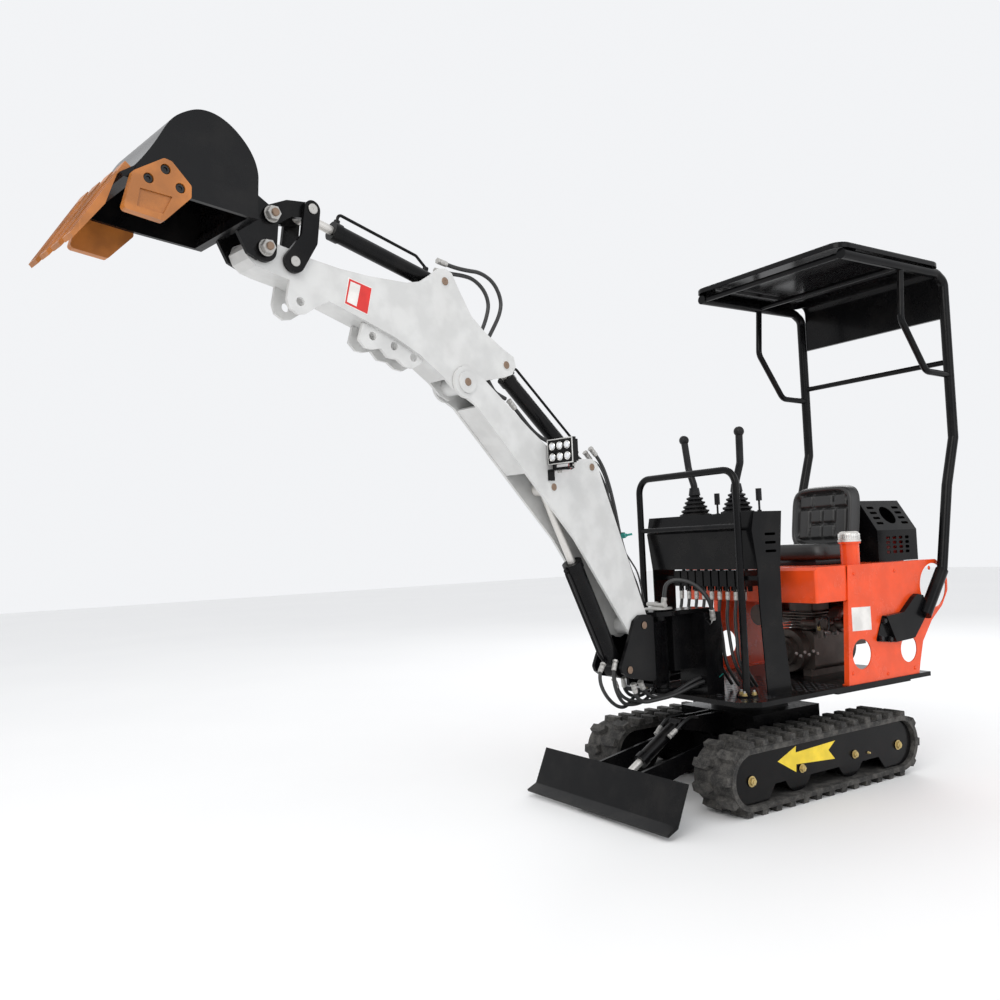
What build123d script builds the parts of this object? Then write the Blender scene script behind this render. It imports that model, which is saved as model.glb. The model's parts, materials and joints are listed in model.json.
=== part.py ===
from build123d import *
import os
from math import atan2, cos, degrees, hypot, pi, radians, sin

# All sizes are in millimetres. X points forward, Y to the machine's left, Z up.
# The drawing origin is where the slewing axis meets the ground; the last step
# moves everything so that the middle of the footprint is the origin.

# Running gear
TRACK_INNER = 208
TRACK_OUTER = 388
WHEEL_X = 423.6
WHEEL_Z = 127
BELT_INNER_R = 88
BELT_OUTER_R = 106
PITCH_R = 97
LINK_PITCH = 72
LINKS = 32
LUG_HEIGHT = 21
LUG_LENGTH = 42
LUG_WIDTH = 86
BEND_DROP = 1.8
PLATE_R = 84
OUTER_PLATE_Y = 362
INNER_PLATE_Y = 226
FRAME_PLATE = 8
ARCH_Z = 92
ROLLER_X = 150
ROLLER_Z = 112
ROLLER_R = 72.7
WHEEL_R = 87.7
SEAT_GAP = 0.3
RING_Z = 322
RING_R = 150
RUN_GAP = 0.5

# Blade
BLADE_PIVOT = (330, 190)
BLADE_HALF = 388
BLADE_ARM_Y = 110
BLADE_CYL_BASE = (396, 268)
BLADE_CYL_EYE = (700, 92)

# Upper works
DECK_BOTTOM = 358
DECK_TOP = 376
DECK_HALF = 355
DECK_FRONT = 386
DECK_REAR = -698
DECK_CORNER = 62
PANEL_Y = 350
PANEL_SHEET = 4
PANEL_TOP = 835
HOOP_X = 262
HOOP_LEFT = 230
HOOP_RIGHT = -300
HOOP_TOP = 1216
HOOP_BAR_Z = 1003
HOOP_R = 13.5
HOOP_BEND = 60
FILLER_X = -292
FILLER_Y = 300
POST_Y = 376.5
POST_R = 21
RAIL_Z = 2058.7
ROOF_FRONT = -215
ROOF_REAR = -905
ROOF_HALF = 400
ROOF_SHEET = 4
ROOF_SKIRT = 24
ROOF_CORNER = 60
ROOF_CROWN = 9
TAIL_LOW = 1870
FINS = 6
COVER_Y = 215
COVER_LOW = 832
COVER_SHEET = 3
COVER_FRONT = -600
COVER_REAR = -880
COVER_BEND = 965
COVER_RIDGE = 130
COVER_TOP = 1095
CONSOLE_TOP = 1055
CONSOLE_LOW = 840
CONSOLE_FRONT = 215
CONSOLE_REAR = 62
CONSOLE_LEFT = 268
CONSOLE_RIGHT = -300
CONSOLE_SHEET = 5
VALVE_SECTIONS = 9
STICK_X = 130
STICK_Y = 113
BOOT_R = 64
BOOT_RINGS = 5
SEAT_Y = 30
SEAT_HALF = 172

# Swing post and front linkage, in the plane of the boom: distance ahead of the
# post and height above the ground.
POST_X = 468
REST_SWING = 10
POST_TUBE_R = 30
KING_PIN_R = 18
FORK_TOP = 680
FORK_LOW = 410
FORK_PLATE = 16
PIN_R = 12.5
PIN_PLAY = 0.05
PIPE_R = 4.5
LIGHT_AT = (612, 116, 1266)
FOOT = (175, 660)
LIFT_BASE = (267, 511)
LIFT_EYE = (601, 1153)
CROWD_BASE = (405, 1225)
ELBOW = (966, 1471)
CROWD_EYE = (785.5, 1544)
CURL_BASE = (1031, 1776)
ROCKER_PIN = (1560, 1738)
ROCKER_TOP = (1501, 1892)
BUCKET_PIN = (1648, 1756)
LINK_PIN = (1630, 1848)
THUMB_EAR = (1538.5, 1637.4)
THUMB_HOLES = ((1297, 1577), (1222, 1557), (1152, 1531))
SWING_LUG_ANGLE = -95
SWING_LUG_R = 110
SWING_BASE = (20, -235)
SWING_Z = 440

ARM_OUT = 43
ARM_PLATE = 10
BOOM_OUT = 54.5
BOOM_PLATE = 10
BRACKET_IN = 56
BRACKET_PLATE = 12
EAR_IN = 46
EAR_OUT = 58
BUCKET_HALF = 155
TOOTH_HALF = 24
TOOTH_PLACES = (-114, -38, 38, 114)


def side_plane(angle=0, at=(0, 0)):
    """Plane of a side view: its x runs along the angle, its y upwards."""
    turn = radians(angle)
    return Plane(origin=(at[0], 0, at[1]), x_dir=(cos(turn), 0, sin(turn)), z_dir=(0, -1, 0))


def slab(sketch, low, high):
    """Side-view sketch given thickness from y = low to y = high."""
    return extrude(side_plane().offset(-high) * sketch, amount=high - low, dir=(0, -1, 0))


def pair(sketch, low, high):
    """The same slab on both sides of the middle plane."""
    return slab(sketch, low, high) + slab(sketch, -high, -low)


def disc(at, radius):
    return Pos(at[0], at[1]) * Circle(radius)


def poly(*points):
    """Face inside a closed line, always drawn anticlockwise."""
    following = points[1:] + points[:1]
    area = sum(a[0] * b[1] - b[0] * a[1] for a, b in zip(points, following))
    ordered = points if area > 0 else points[::-1]
    return make_face(Polyline(*ordered, close=True))


def hull(*discs):
    return make_hull(Sketch(children=list(discs)).edges())


def strip(points, thick):
    """Thin side-view band along a line, laid to the left of its direction."""
    line = Polyline(*points)
    return make_face(offset(line, amount=thick, side=Side.LEFT, closed=True))


def soft(sketch, radius):
    return fillet(sketch.vertices(), radius)


def tube(points, radius, bend):
    path = FilletPolyline(*points, radius=bend) if len(points) > 2 else Polyline(*points)
    start = Plane(origin=path @ 0, z_dir=path % 0)
    return sweep(start * Circle(radius), path=path)


def lying(radius, start, length):
    """Cylinder along the local x axis."""
    return Pos(start, 0, 0) * Rot(0, 90, 0) * Cylinder(
        radius, length, align=(Align.CENTER, Align.CENTER, Align.MIN))


def block(x, y, z):
    """Box between three pairs of limits."""
    return Pos((x[0] + x[1]) / 2, (y[0] + y[1]) / 2, (z[0] + z[1]) / 2) * Box(
        x[1] - x[0], y[1] - y[0], z[1] - z[0])


def upright(x, y, radius, low, high):
    return Pos(x, y, (low + high) / 2) * Cylinder(radius, high - low)


def cross(at, radius, low, high):
    """Cylinder along y."""
    return slab(disc(at, radius), low, high)


def span(a, b):
    return hypot(b[0] - a[0], b[1] - a[1])


def slope(a, b):
    return degrees(atan2(b[1] - a[1], b[0] - a[0]))


def mirrored(shape):
    return mirror(shape, about=Plane.XZ)


# Running gear

def loop_frame(distance):
    """Plane on the pitch line of a track, its z pointing out of the loop."""
    run = 2 * WHEEL_X
    bend = pi * PITCH_R
    distance = distance % (2 * run + 2 * bend)
    if distance < run:
        x, turn = -WHEEL_X + distance, 0
    elif distance < run + bend:
        x, turn = WHEEL_X, (distance - run) / PITCH_R
    elif distance < 2 * run + bend:
        x, turn = WHEEL_X - (distance - run - bend), pi
    else:
        x, turn = -WHEEL_X, pi + (distance - 2 * run - bend) / PITCH_R
    out = (sin(turn), 0, cos(turn))
    along = (cos(turn), 0, -sin(turn))
    middle = (TRACK_INNER + TRACK_OUTER) / 2
    origin = (x + PITCH_R * out[0], middle, WHEEL_Z + PITCH_R * out[2])
    return Plane(origin=origin, x_dir=along, z_dir=out)


def lug_outline(side):
    half = LUG_LENGTH / 2
    outer = (TRACK_OUTER - TRACK_INNER) / 2 - 3
    inner = outer - LUG_WIDTH
    return poly((-half + 5, side * outer), (half - 5, side * outer),
                (half, side * (outer - 20)), (half, side * (inner + 24)),
                (4, side * inner), (-half, side * (inner + 12)))


def build_track():
    flat = Rectangle(2 * WHEEL_X, 2 * BELT_OUTER_R) + disc((-WHEEL_X, 0), BELT_OUTER_R)
    flat += disc((WHEEL_X, 0), BELT_OUTER_R)
    hole = Rectangle(2 * WHEEL_X, 2 * BELT_INNER_R) + disc((-WHEEL_X, 0), BELT_INNER_R)
    hole += disc((WHEEL_X, 0), BELT_INNER_R)
    belt = slab(Pos(0, WHEEL_Z) * (flat - hole), TRACK_INNER, TRACK_OUTER)
    base = BELT_OUTER_R - PITCH_R - 3
    lugs = []
    for number in range(LINKS):
        for side, phase in ((-1, 0.0), (1, 0.5)):
            place = loop_frame((number + phase + 0.25) * LINK_PITCH).offset(base)
            bent = abs(place.origin.X) > WHEEL_X
            height = LUG_HEIGHT + 3 - (BEND_DROP if bent else 0)
            lugs.append(extrude(place * lug_outline(side), amount=height, taper=6))
    return belt.fuse(*lugs)


def build_track_frame():
    ends = disc((-WHEEL_X, WHEEL_Z), PLATE_R) + disc((WHEEL_X, WHEEL_Z), PLATE_R)
    bar = Pos(0, WHEEL_Z) * Rectangle(2 * WHEEL_X, 2 * PLATE_R)
    arch = poly((-352, 20), (-296, ARCH_Z), (296, ARCH_Z), (352, 20))
    plate = ends + bar - arch
    frame = slab(plate, OUTER_PLATE_Y, OUTER_PLATE_Y + FRAME_PLATE)
    frame += slab(plate, INNER_PLATE_Y, INNER_PLATE_Y + FRAME_PLATE)
    frame += block((-250, 250), (INNER_PLATE_Y, OUTER_PLATE_Y + 2), (188, 205))
    for x, z, size in ((418, 120, 20), (ROLLER_X, ROLLER_Z + 9, 15), (-ROLLER_X, ROLLER_Z + 9, 15)):
        frame += cross((x, z), size, OUTER_PLATE_Y + 7, OUTER_PLATE_Y + 11)
    return frame


def build_wheels():
    inner = INNER_PLATE_Y + FRAME_PLATE
    wheels = []
    for x, z, radius in ((WHEEL_X, WHEEL_Z, WHEEL_R), (-WHEEL_X, WHEEL_Z, WHEEL_R),
                         (ROLLER_X, ROLLER_Z, ROLLER_R), (-ROLLER_X, ROLLER_Z, ROLLER_R)):
        wheel = cross((x, z), 24, inner + SEAT_GAP, OUTER_PLATE_Y - SEAT_GAP)
        wheel += cross((x, z), radius, inner + 12, inner + 42)
        wheel += cross((x, z), radius, OUTER_PLATE_Y - 42, OUTER_PLATE_Y - 12)
        wheel += cross((x, z), radius - 22, inner + 40, OUTER_PLATE_Y - 40)
        wheels.append(wheel)
    return Compound(children=wheels)


def build_carbody():
    body = block((-190, 190), (-190, 190), (200, 290))
    body += block((-230, 230), (-INNER_PLATE_Y, INNER_PLATE_Y), (60, 200))
    body += upright(0, 0, RING_R, 288, RING_Z)
    lug = poly((180, 90), (350, 150), (352, 205), (330, 214), (300, 214), (180, 240))
    for low, high in ((BLADE_ARM_Y - 14, BLADE_ARM_Y - 1), (BLADE_ARM_Y + 13, BLADE_ARM_Y + 26)):
        body += pair(lug, low, high)
    ear = hull(disc(BLADE_CYL_BASE, 20), disc((210, 270), 20), disc((210, 225), 20))
    body += pair(ear, 19, 31)
    body += pair(disc(BLADE_PIVOT, PIN_R), BLADE_ARM_Y - 14, BLADE_ARM_Y + 26)
    body += cross(BLADE_CYL_BASE, PIN_R, -31, 31)
    return body


def build_blade():
    plate = poly((736, 169), (792, 42), (835, 23), (831, 15), (786, 34), (728, 166))
    blade = slab(plate, -BLADE_HALF, BLADE_HALF)
    arm = poly((330, 214), (700, 150), (733, 160), (785, 40), (740, 44), (330, 166))
    arm = arm + disc(BLADE_PIVOT, 24) - disc(BLADE_PIVOT, PIN_R + PIN_PLAY)
    blade += pair(arm, BLADE_ARM_Y, BLADE_ARM_Y + 12)
    lug = hull(disc((700, 92), 22), disc((748, 118), 10), disc((762, 70), 10))
    blade += pair(lug, 19, 31)
    return blade


# Hydraulic cylinders: a barrel with a blind bore and a rod that slides in it.

def build_barrel(base, eye, radius, eye_r, eye_half, gland, bore_r, keep=60, line=0):
    """Barrel along its own x axis; line is the offset of its steel pipe, if it has one."""
    view = side_plane(slope(base, eye), base)
    start = eye_r + 9
    barrel = lying(radius, start, gland - start)
    barrel += lying(radius + 3, gland - 26, 26)
    barrel += Cylinder(eye_r, 2 * eye_half)
    barrel += Box(start + 4, 1.4 * eye_r, 2 * eye_half, align=(Align.MIN, Align.CENTER, Align.CENTER))
    if line:
        for x in (start + 16, gland - 13):
            barrel += Pos(x, 0, 0) * Rot(-90 if line > 0 else 90, 0, 0) * Cylinder(
                9, radius + 11, align=(Align.CENTER, Align.CENTER, Align.MIN))
        far = radius * line / abs(line)
        barrel += tube([(gland - 13, far, 0), (gland - 13, far + line, 0), (start + 58, far + line, 0),
                        (start + 16, far + line / 3, 0)], PIPE_R, 12)
    barrel -= Cylinder(PIN_R + PIN_PLAY, 4 * eye_half)
    barrel -= lying(bore_r, keep, gland)
    return view.location * barrel


def build_rod(base, eye, radius, eye_r, eye_half, tip):
    view = side_plane(slope(base, eye), base)
    length = span(base, eye)
    rod = lying(radius, tip, length - tip - eye_r + 4)
    rod += Pos(length, 0, 0) * Cylinder(eye_r, 2 * eye_half)
    return view.location * rod


# Front linkage

def swing_place(shape):
    """Move a part of the front linkage from the boom's plane to the machine."""
    return Pos(POST_X, 0, 0) * Rot(0, 0, REST_SWING) * shape


def build_swing_bracket():
    low, high = FORK_LOW + RUN_GAP, FORK_TOP - RUN_GAP
    body = upright(0, 0, POST_TUBE_R, low, high)
    web = poly((0, POST_TUBE_R), (0, POST_TUBE_R - 12), (124, BRACKET_IN), (124, BRACKET_IN + 12))
    for shape in (web, mirror(web, about=Plane.XZ)):
        body += extrude(Pos(0, 0, low + 18) * shape, amount=high - low - 36, dir=(0, 0, 1))
    shelf = poly((0, -24), (112, -58), (112, 58), (0, 24))
    body += extrude(Pos(0, 0, low + 18) * shelf, amount=12, dir=(0, 0, 1))
    body += extrude(Pos(0, 0, high - 30) * shelf, amount=12, dir=(0, 0, 1))
    plate = poly((164, 698), (132, 693), (119, 683), (119, 457), (150, 457), (275, 485),
                 (304, 504), (313, 523), (301, 546), (254, 631), (229, 681), (196, 698))
    body += pair(soft(plate, 8), BRACKET_IN, BRACKET_IN + BRACKET_PLATE)
    reach = BRACKET_IN + BRACKET_PLATE + 2
    body += cross(FOOT, PIN_R, -reach, reach)
    body += cross(LIFT_BASE, PIN_R, -reach, reach)
    turn = radians(SWING_LUG_ANGLE)
    tip = (SWING_LUG_R * cos(turn), SWING_LUG_R * sin(turn))
    lug = hull(disc((0, 0), 28), disc(tip, 18))
    for z in (SWING_Z - 16, SWING_Z + 6):
        body += extrude(Pos(0, 0, z) * lug, amount=10, dir=(0, 0, 1))
    body -= upright(0, 0, KING_PIN_R + PIN_PLAY, low - 5, high + 5)
    return body


def boom_outline():
    side = poly((138, 688), (357, 1194), (374, 1238), (402, 1254), (560, 1246), (701, 1341),
                (888, 1482), (934, 1508), (1001, 1440), (934, 1404), (507, 978), (237, 629), (203, 624))
    return side + disc(FOOT, 46) + disc(ELBOW, 50)


def build_boom():
    inner = BOOM_OUT - BOOM_PLATE
    boom = pair(boom_outline(), inner, BOOM_OUT)
    back = poly((150, 690), (368, 1194), (359, 1196), (138, 690))
    top = poly((566, 1250), (701, 1341), (888, 1482), (893, 1475), (706, 1334), (572, 1243))
    low = poly((722, 1196), (925, 1398), (919, 1404), (716, 1202))
    for sheet in (back, top, low):
        boom += slab(sheet, -inner - 1, inner + 1)
    boom += cross(FOOT, 34, -BOOM_OUT, BOOM_OUT)
    for hole in (FOOT, ELBOW):
        boom -= cross(hole, PIN_R + PIN_PLAY, -80, 80)
    boom += cross(CROWD_BASE, PIN_R, -BOOM_OUT - 2, BOOM_OUT + 2)
    boom += pair(disc(LIFT_EYE, 15), BOOM_OUT - 1, BOOM_OUT + 2)
    elbow = pair(disc(ELBOW, 34) - disc(ELBOW, PIN_R + PIN_PLAY), BOOM_OUT - 1, BOOM_OUT + 5)
    return boom + elbow


def arm_outline():
    return poly((1616, 1782), (1662, 1790), (1686, 1778), (1698, 1752), (1688, 1727), (1667, 1711),
                (1636, 1703), (1569, 1691), (1579, 1641), (1572, 1616), (1547, 1602),
                (1521, 1607), (1499, 1622), (1449, 1652), (1336, 1617), (1225, 1579), (1139, 1540),
                (1039, 1474), (1002, 1440), (966, 1425), (930, 1440), (897, 1482), (797, 1503),
                (759, 1516), (741, 1545), (749, 1574), (798, 1597), (869, 1638), (926, 1684),
                (974, 1759), (1000, 1806), (1027, 1817), (1055, 1811), (1084, 1789), (1128, 1760),
                (1176, 1748), (1314, 1745), (1409, 1749), (1502, 1760), (1566, 1774))


def build_arm():
    inner = ARM_OUT - ARM_PLATE
    arm = pair(arm_outline(), inner, ARM_OUT)
    nose = poly((1691, 1768), (1698, 1752), (1688, 1727), (1667, 1711), (1636, 1703), (1569, 1691),
                (1568, 1699), (1634, 1711), (1663, 1719), (1681, 1732), (1690, 1752), (1684, 1765))
    top = poly((1176, 1748), (1314, 1745), (1409, 1749), (1502, 1760), (1503, 1752), (1409, 1741),
               (1314, 1737), (1174, 1740))
    low = poly((1449, 1652), (1336, 1617), (1225, 1579), (1139, 1540), (1040, 1475), (1034, 1481),
               (1135, 1547), (1222, 1587), (1333, 1625), (1446, 1660))
    back = poly((869, 1638), (926, 1684), (974, 1759), (981, 1755), (932, 1678), (874, 1631))
    front = poly((1569, 1691), (1449, 1652), (1446, 1660), (1568, 1699))
    for sheet in (nose, top, low, back, front):
        arm += slab(sheet, -inner - 1, inner + 1)
    for hole, size in ((ELBOW, 32), (ROCKER_PIN, 24), (BUCKET_PIN, 26)):
        arm += cross(hole, size, -ARM_OUT - 1, ARM_OUT + 1)
        arm -= cross(hole, PIN_R + PIN_PLAY, -80, 80)
    arm += cross(CURL_BASE, PIN_R, -ARM_OUT - 2, ARM_OUT + 2)
    arm += pair(disc(CROWD_EYE, 15), ARM_OUT - 1, ARM_OUT + 2)
    rack = poly((1330, 1612), (1345, 1562), (1323, 1541), (1296, 1539), (1269, 1545), (1247, 1522),
                (1212, 1519), (1186, 1502), (1157, 1498), (1126, 1514), (1112, 1530), (1150, 1550),
                (1225, 1585), (1300, 1610))
    arm += pair(rack, 20, 30)
    arm -= cross(THUMB_EAR, PIN_R, -80, 80)
    for hole in THUMB_HOLES:
        arm -= cross(hole, PIN_R, -80, 80)
    return arm


def build_rocker():
    middle = disc((1513, 1806), 25)
    shape = hull(disc(ROCKER_TOP, 24), middle) + hull(middle, disc(ROCKER_PIN, 30))
    rocker = pair(shape, EAR_IN, EAR_OUT)
    rocker += cross(ROCKER_PIN, PIN_R, -EAR_OUT - 2, EAR_OUT + 2)
    return rocker + pair(disc(ROCKER_TOP, PIN_R), 28, EAR_OUT + 2)


def build_bucket_link():
    middle = disc((1566, 1884), 22)
    cheek = hull(disc(ROCKER_TOP, 22), middle)
    body = hull(middle, disc(LINK_PIN, 28))
    link = pair(cheek, 28, 44) + pair(body, 28, 44)
    core = hull(disc((1590, 1868), 22), disc(LINK_PIN, 26))
    link += slab(core, -44, 44)
    return link - pair(disc(ROCKER_TOP, PIN_R + PIN_PLAY), 20, 60)


BUCKET_MIDDLE = (190, 150)
BUCKET_SIDE = ((71, 33), (246, 46), (400, 62), (408, 70), (376, 92), (353, 121), (317, 176),
               (281, 230), (252, 252), (219, 267), (169, 266), (113, 233), (75, 181), (66, 141))


def from_bucket_pin(points):
    return [(BUCKET_PIN[0] + s, BUCKET_PIN[1] + z) for s, z in points]


def bucket_outline(inset=0):
    """Side view of the bucket: a curved back and a straight mouth."""
    pts = []
    for s, z in BUCKET_SIDE[4:]:
        reach = hypot(s - BUCKET_MIDDLE[0], z - BUCKET_MIDDLE[1])
        keep = 1 - inset / reach
        pts.append((BUCKET_MIDDLE[0] + keep * (s - BUCKET_MIDDLE[0]),
                    BUCKET_MIDDLE[1] + keep * (z - BUCKET_MIDDLE[1])))
    pts = from_bucket_pin(pts)
    if inset:
        low = from_bucket_pin(((82 + inset / 2, 0), (392 - inset, 0)))
    else:
        low = from_bucket_pin(BUCKET_SIDE[:4])
    edges = [Spline(*pts)] + [Line(pts[-1], low[0])]
    edges += [Line(a, b) for a, b in zip(low, low[1:])]
    edges.append(Line(low[-1], pts[0]))
    return make_face(Wire(edges))


def build_bucket():
    shell = slab(bucket_outline(), -BUCKET_HALF + 3, BUCKET_HALF - 3)
    shell -= slab(bucket_outline(8), -BUCKET_HALF + 12, BUCKET_HALF - 12)
    band = poly(*from_bucket_pin(((71, 33), (246, 46), (384, 60), (372, 92), (252, 104), (73, 96))))
    shell += pair(band, BUCKET_HALF - 4, BUCKET_HALF)
    bar = poly(*from_bucket_pin(((71, 33), (94, 35), (94, 58), (70, 58))))
    shell += slab(bar, -BUCKET_HALF + 4, BUCKET_HALF - 4)
    ear = hull(disc(BUCKET_PIN, 34), disc(LINK_PIN, 25))
    ear += poly(*from_bucket_pin(((20, -32), (50, -20), (78, 33), (70, 100), (74, 170), (-18, 117), (-10, 60))))
    shell += pair(ear, EAR_IN, EAR_OUT)
    shell += cross(BUCKET_PIN, PIN_R, -EAR_OUT - 6, EAR_OUT + 6)
    return shell + pair(disc(LINK_PIN, PIN_R), EAR_OUT - 1, EAR_OUT + 6)


def build_teeth():
    """Four long teeth, each with two flutes along its upper face."""
    side = poly(*from_bucket_pin(((376, 92), (390, 104), (512, -84), (505, -92), (436, -4), (420, 40),
                                  (408, 70))))
    flute = poly(*from_bucket_pin(((408, 85), (514, -78), (498, -80), (400, 76))))
    teeth = []
    for middle in TOOTH_PLACES:
        tooth = slab(side, middle - TOOTH_HALF, middle + TOOTH_HALF)
        for low, high in ((-TOOTH_HALF + 5, -4), (4, TOOTH_HALF - 5)):
            tooth -= slab(flute, middle + low, middle + high)
        teeth.append(tooth)
    return Compound(children=teeth)


def build_cutters():
    side = poly(*from_bucket_pin(((317, 116), (299, 113), (253, 66), (254, 38), (320, -30), (413, -19),
                                  (388, 70))))
    plate = slab(soft(side, 9), BUCKET_HALF, BUCKET_HALF + 22)
    for hole in from_bucket_pin(((354, 61), (314, 91), (280, 55))):
        plate -= cross(hole, 12, BUCKET_HALF + 12, BUCKET_HALF + 30)
    panel = poly(*from_bucket_pin(((300, 30), (322, -14), (382, -8), (374, 34))))
    plate -= slab(panel, BUCKET_HALF + 18, BUCKET_HALF + 30)
    return Compound(children=[plate, mirrored(plate)])


# Upper works

def build_deck():
    """Deck plate with cut corners, a stiffener below it and the turning ring."""
    side = DECK_HALF
    outline = Polyline((DECK_REAR, -side), (DECK_FRONT - DECK_CORNER, -side),
                       (DECK_FRONT, -side + 50), (DECK_FRONT, side - 50),
                       (DECK_FRONT - DECK_CORNER, side), (DECK_REAR, side), close=True)
    deck = extrude(Pos(0, 0, DECK_BOTTOM) * make_face(outline), amount=DECK_TOP - DECK_BOTTOM, dir=(0, 0, 1))
    deck += upright(0, 0, RING_R + 10, RING_Z + RUN_GAP, DECK_BOTTOM + 1)
    deck += block((-640, -RING_R - 16), (-300, 300), (DECK_BOTTOM - 20, DECK_BOTTOM + 1))
    return deck


def build_king_post():
    """Fork of the upper works that carries the swing bracket."""
    neck = 470 - POST_TUBE_R - 6
    fork = poly((240, -60), (neck, -40), (neck, 40), (240, 60))
    plates = []
    for low in (FORK_LOW - FORK_PLATE, FORK_TOP):
        plates.append(extrude(Pos(0, 0, low) * (fork + hull(disc((POST_X, 0), 44), disc((380, 0), 44))),
                              amount=FORK_PLATE, dir=(0, 0, 1)))
    post = plates[0] + plates[1]
    post += upright(POST_X, 0, 70, FORK_TOP, FORK_TOP + FORK_PLATE)
    post += block((400, 430), (-34, 34), (SWING_Z + 30, FORK_TOP + 2))
    post += block((328, 402), (-28, 28), (SWING_Z + 30, FORK_TOP + 2))
    post += block((240, 330), (-40, 100), (DECK_TOP, FORK_TOP + 2))
    post += upright(POST_X, 0, KING_PIN_R, FORK_LOW - FORK_PLATE - 6, FORK_TOP + FORK_PLATE + 6)
    return post


def build_panel():
    """Side panel: pressed sheet with three round holes and turned edges."""
    y = PANEL_Y
    outline = poly((-205, PANEL_TOP), (-172, DECK_TOP), (-628, DECK_TOP), (-640, 420), (-668, 503),
                   (-738, 583), (-820, 640), (-866, 700), (-868, 745), (-846, 800), (-790, PANEL_TOP))
    outline = fillet(outline.vertices().sort_by(Axis.X)[:7], 30)
    holes = disc((-567, 481), 54) + disc((-262, 488), 58) + disc((-762, 727), 92)
    sheet = slab(outline - holes, y - PANEL_SHEET, y)
    sheet += block((-775, -205), (y - 40, y), (PANEL_TOP - PANEL_SHEET, PANEL_TOP))
    sheet += block((-600, -172), (y - 30, y), (DECK_TOP, DECK_TOP + PANEL_SHEET))
    turned = poly((-172, DECK_TOP), (-195, 698), (-199, 698), (-176, DECK_TOP))
    sheet += slab(turned, y - 22, y)
    return sheet


def build_tank():
    front, rear = -20, -200
    tank = block((rear, front), (-PANEL_Y + 6, PANEL_Y - 6), (700, PANEL_TOP))
    tank = chamfer(tank.edges().filter_by(Axis.Y).group_by(Axis.Z)[-1].sort_by(Axis.X)[-1], 12)
    return fillet(tank.edges().filter_by(Axis.Z).group_by(Axis.X)[-1], 10)


def build_filler():
    neck = upright(FILLER_X, FILLER_Y, 36, PANEL_TOP, 925)
    return neck + upright(FILLER_X, FILLER_Y, 42, 917, 925)


def build_cap():
    """Filler cap: a crimped rim under a domed top."""
    cap = upright(FILLER_X, FILLER_Y, 44, 925, 932)
    dome = upright(FILLER_X, FILLER_Y, 40, 930, 966)
    cap += fillet(dome.edges().group_by(Axis.Z)[-1], 14)
    return cap


def build_engine():
    """Upright single-cylinder engine with its pump in front and its starter housing behind."""
    parts = fillet(block((-500, -290), (-105, 105), (400, 560)).edges().filter_by(Axis.X), 22)
    parts += block((-520, -280), (-90, -50), (DECK_TOP, 404)) + block((-520, -280), (50, 90), (DECK_TOP, 404))
    parts += upright(-400, 0, 55, 558, 650)
    for number in range(FINS):
        parts += block((-480, -325), (-78, 78), (568 + 12 * number, 573 + 12 * number))
    head = block((-465, -338), (-60, 60), (640, 692))
    parts += fillet(head.edges().filter_by(Axis.Z), 14)
    view = Plane(origin=(-500, 0, 480), x_dir=(0, 1, 0), z_dir=(-1, 0, 0)).location
    parts += view * Cylinder(100, 70, align=(Align.CENTER, Align.CENTER, Align.MIN))
    parts += view * Pos(0, 0, 68) * Cone(78, 58, 34, align=(Align.CENTER, Align.CENTER, Align.MIN))
    parts += block((-640, -505), (-98, 98), (480, 660))
    cowl = block((-850, -628), (-168, 168), (600, 940))
    parts += fillet(cowl.edges().filter_by(Axis.Z), 30)
    nose = Plane(origin=(-292, 0, 480), x_dir=(0, 1, 0), z_dir=(1, 0, 0)).location
    for radius, start, depth in ((88, 0, 44), (60, 42, 30), (44, 70, 70), (20, 138, 16)):
        parts += nose * Pos(0, 0, start) * Cylinder(radius, depth, align=(Align.CENTER, Align.CENTER, Align.MIN))
    parts += build_intake() + build_silencer()
    return parts


def build_intake():
    """Carburettor on the left of the cylinder and its round air cleaner."""
    parts = cross((-300, 592), 20, 50, 150) + block((-322, -262), (140, 196), (560, 618))
    parts += block((-380, -290), (52, 70), (566, 616))
    parts += upright(-262, 170, 17, 540, 575) + cross((-282, 580), 15, 190, 214)
    parts += tube([(-300, 190, 592), (-300, 232, 592), (-372, 232, 606), (-372, 196, 606)], 16, 15)
    cleaner = cross((-372, 606), 52, 150, 200) - cross((-372, 606), 27, 192, 201)
    return parts + cleaner + block((-400, -345), (60, 152), (590, 616))


def build_silencer():
    """Exhaust pipe and silencer on the right of the cylinder."""
    box = lying(46, -90, 180)
    return tube([(-400, -50, 616), (-400, -200, 616)], 17, 1) + Pos(-400, -200, 616) * box


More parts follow.
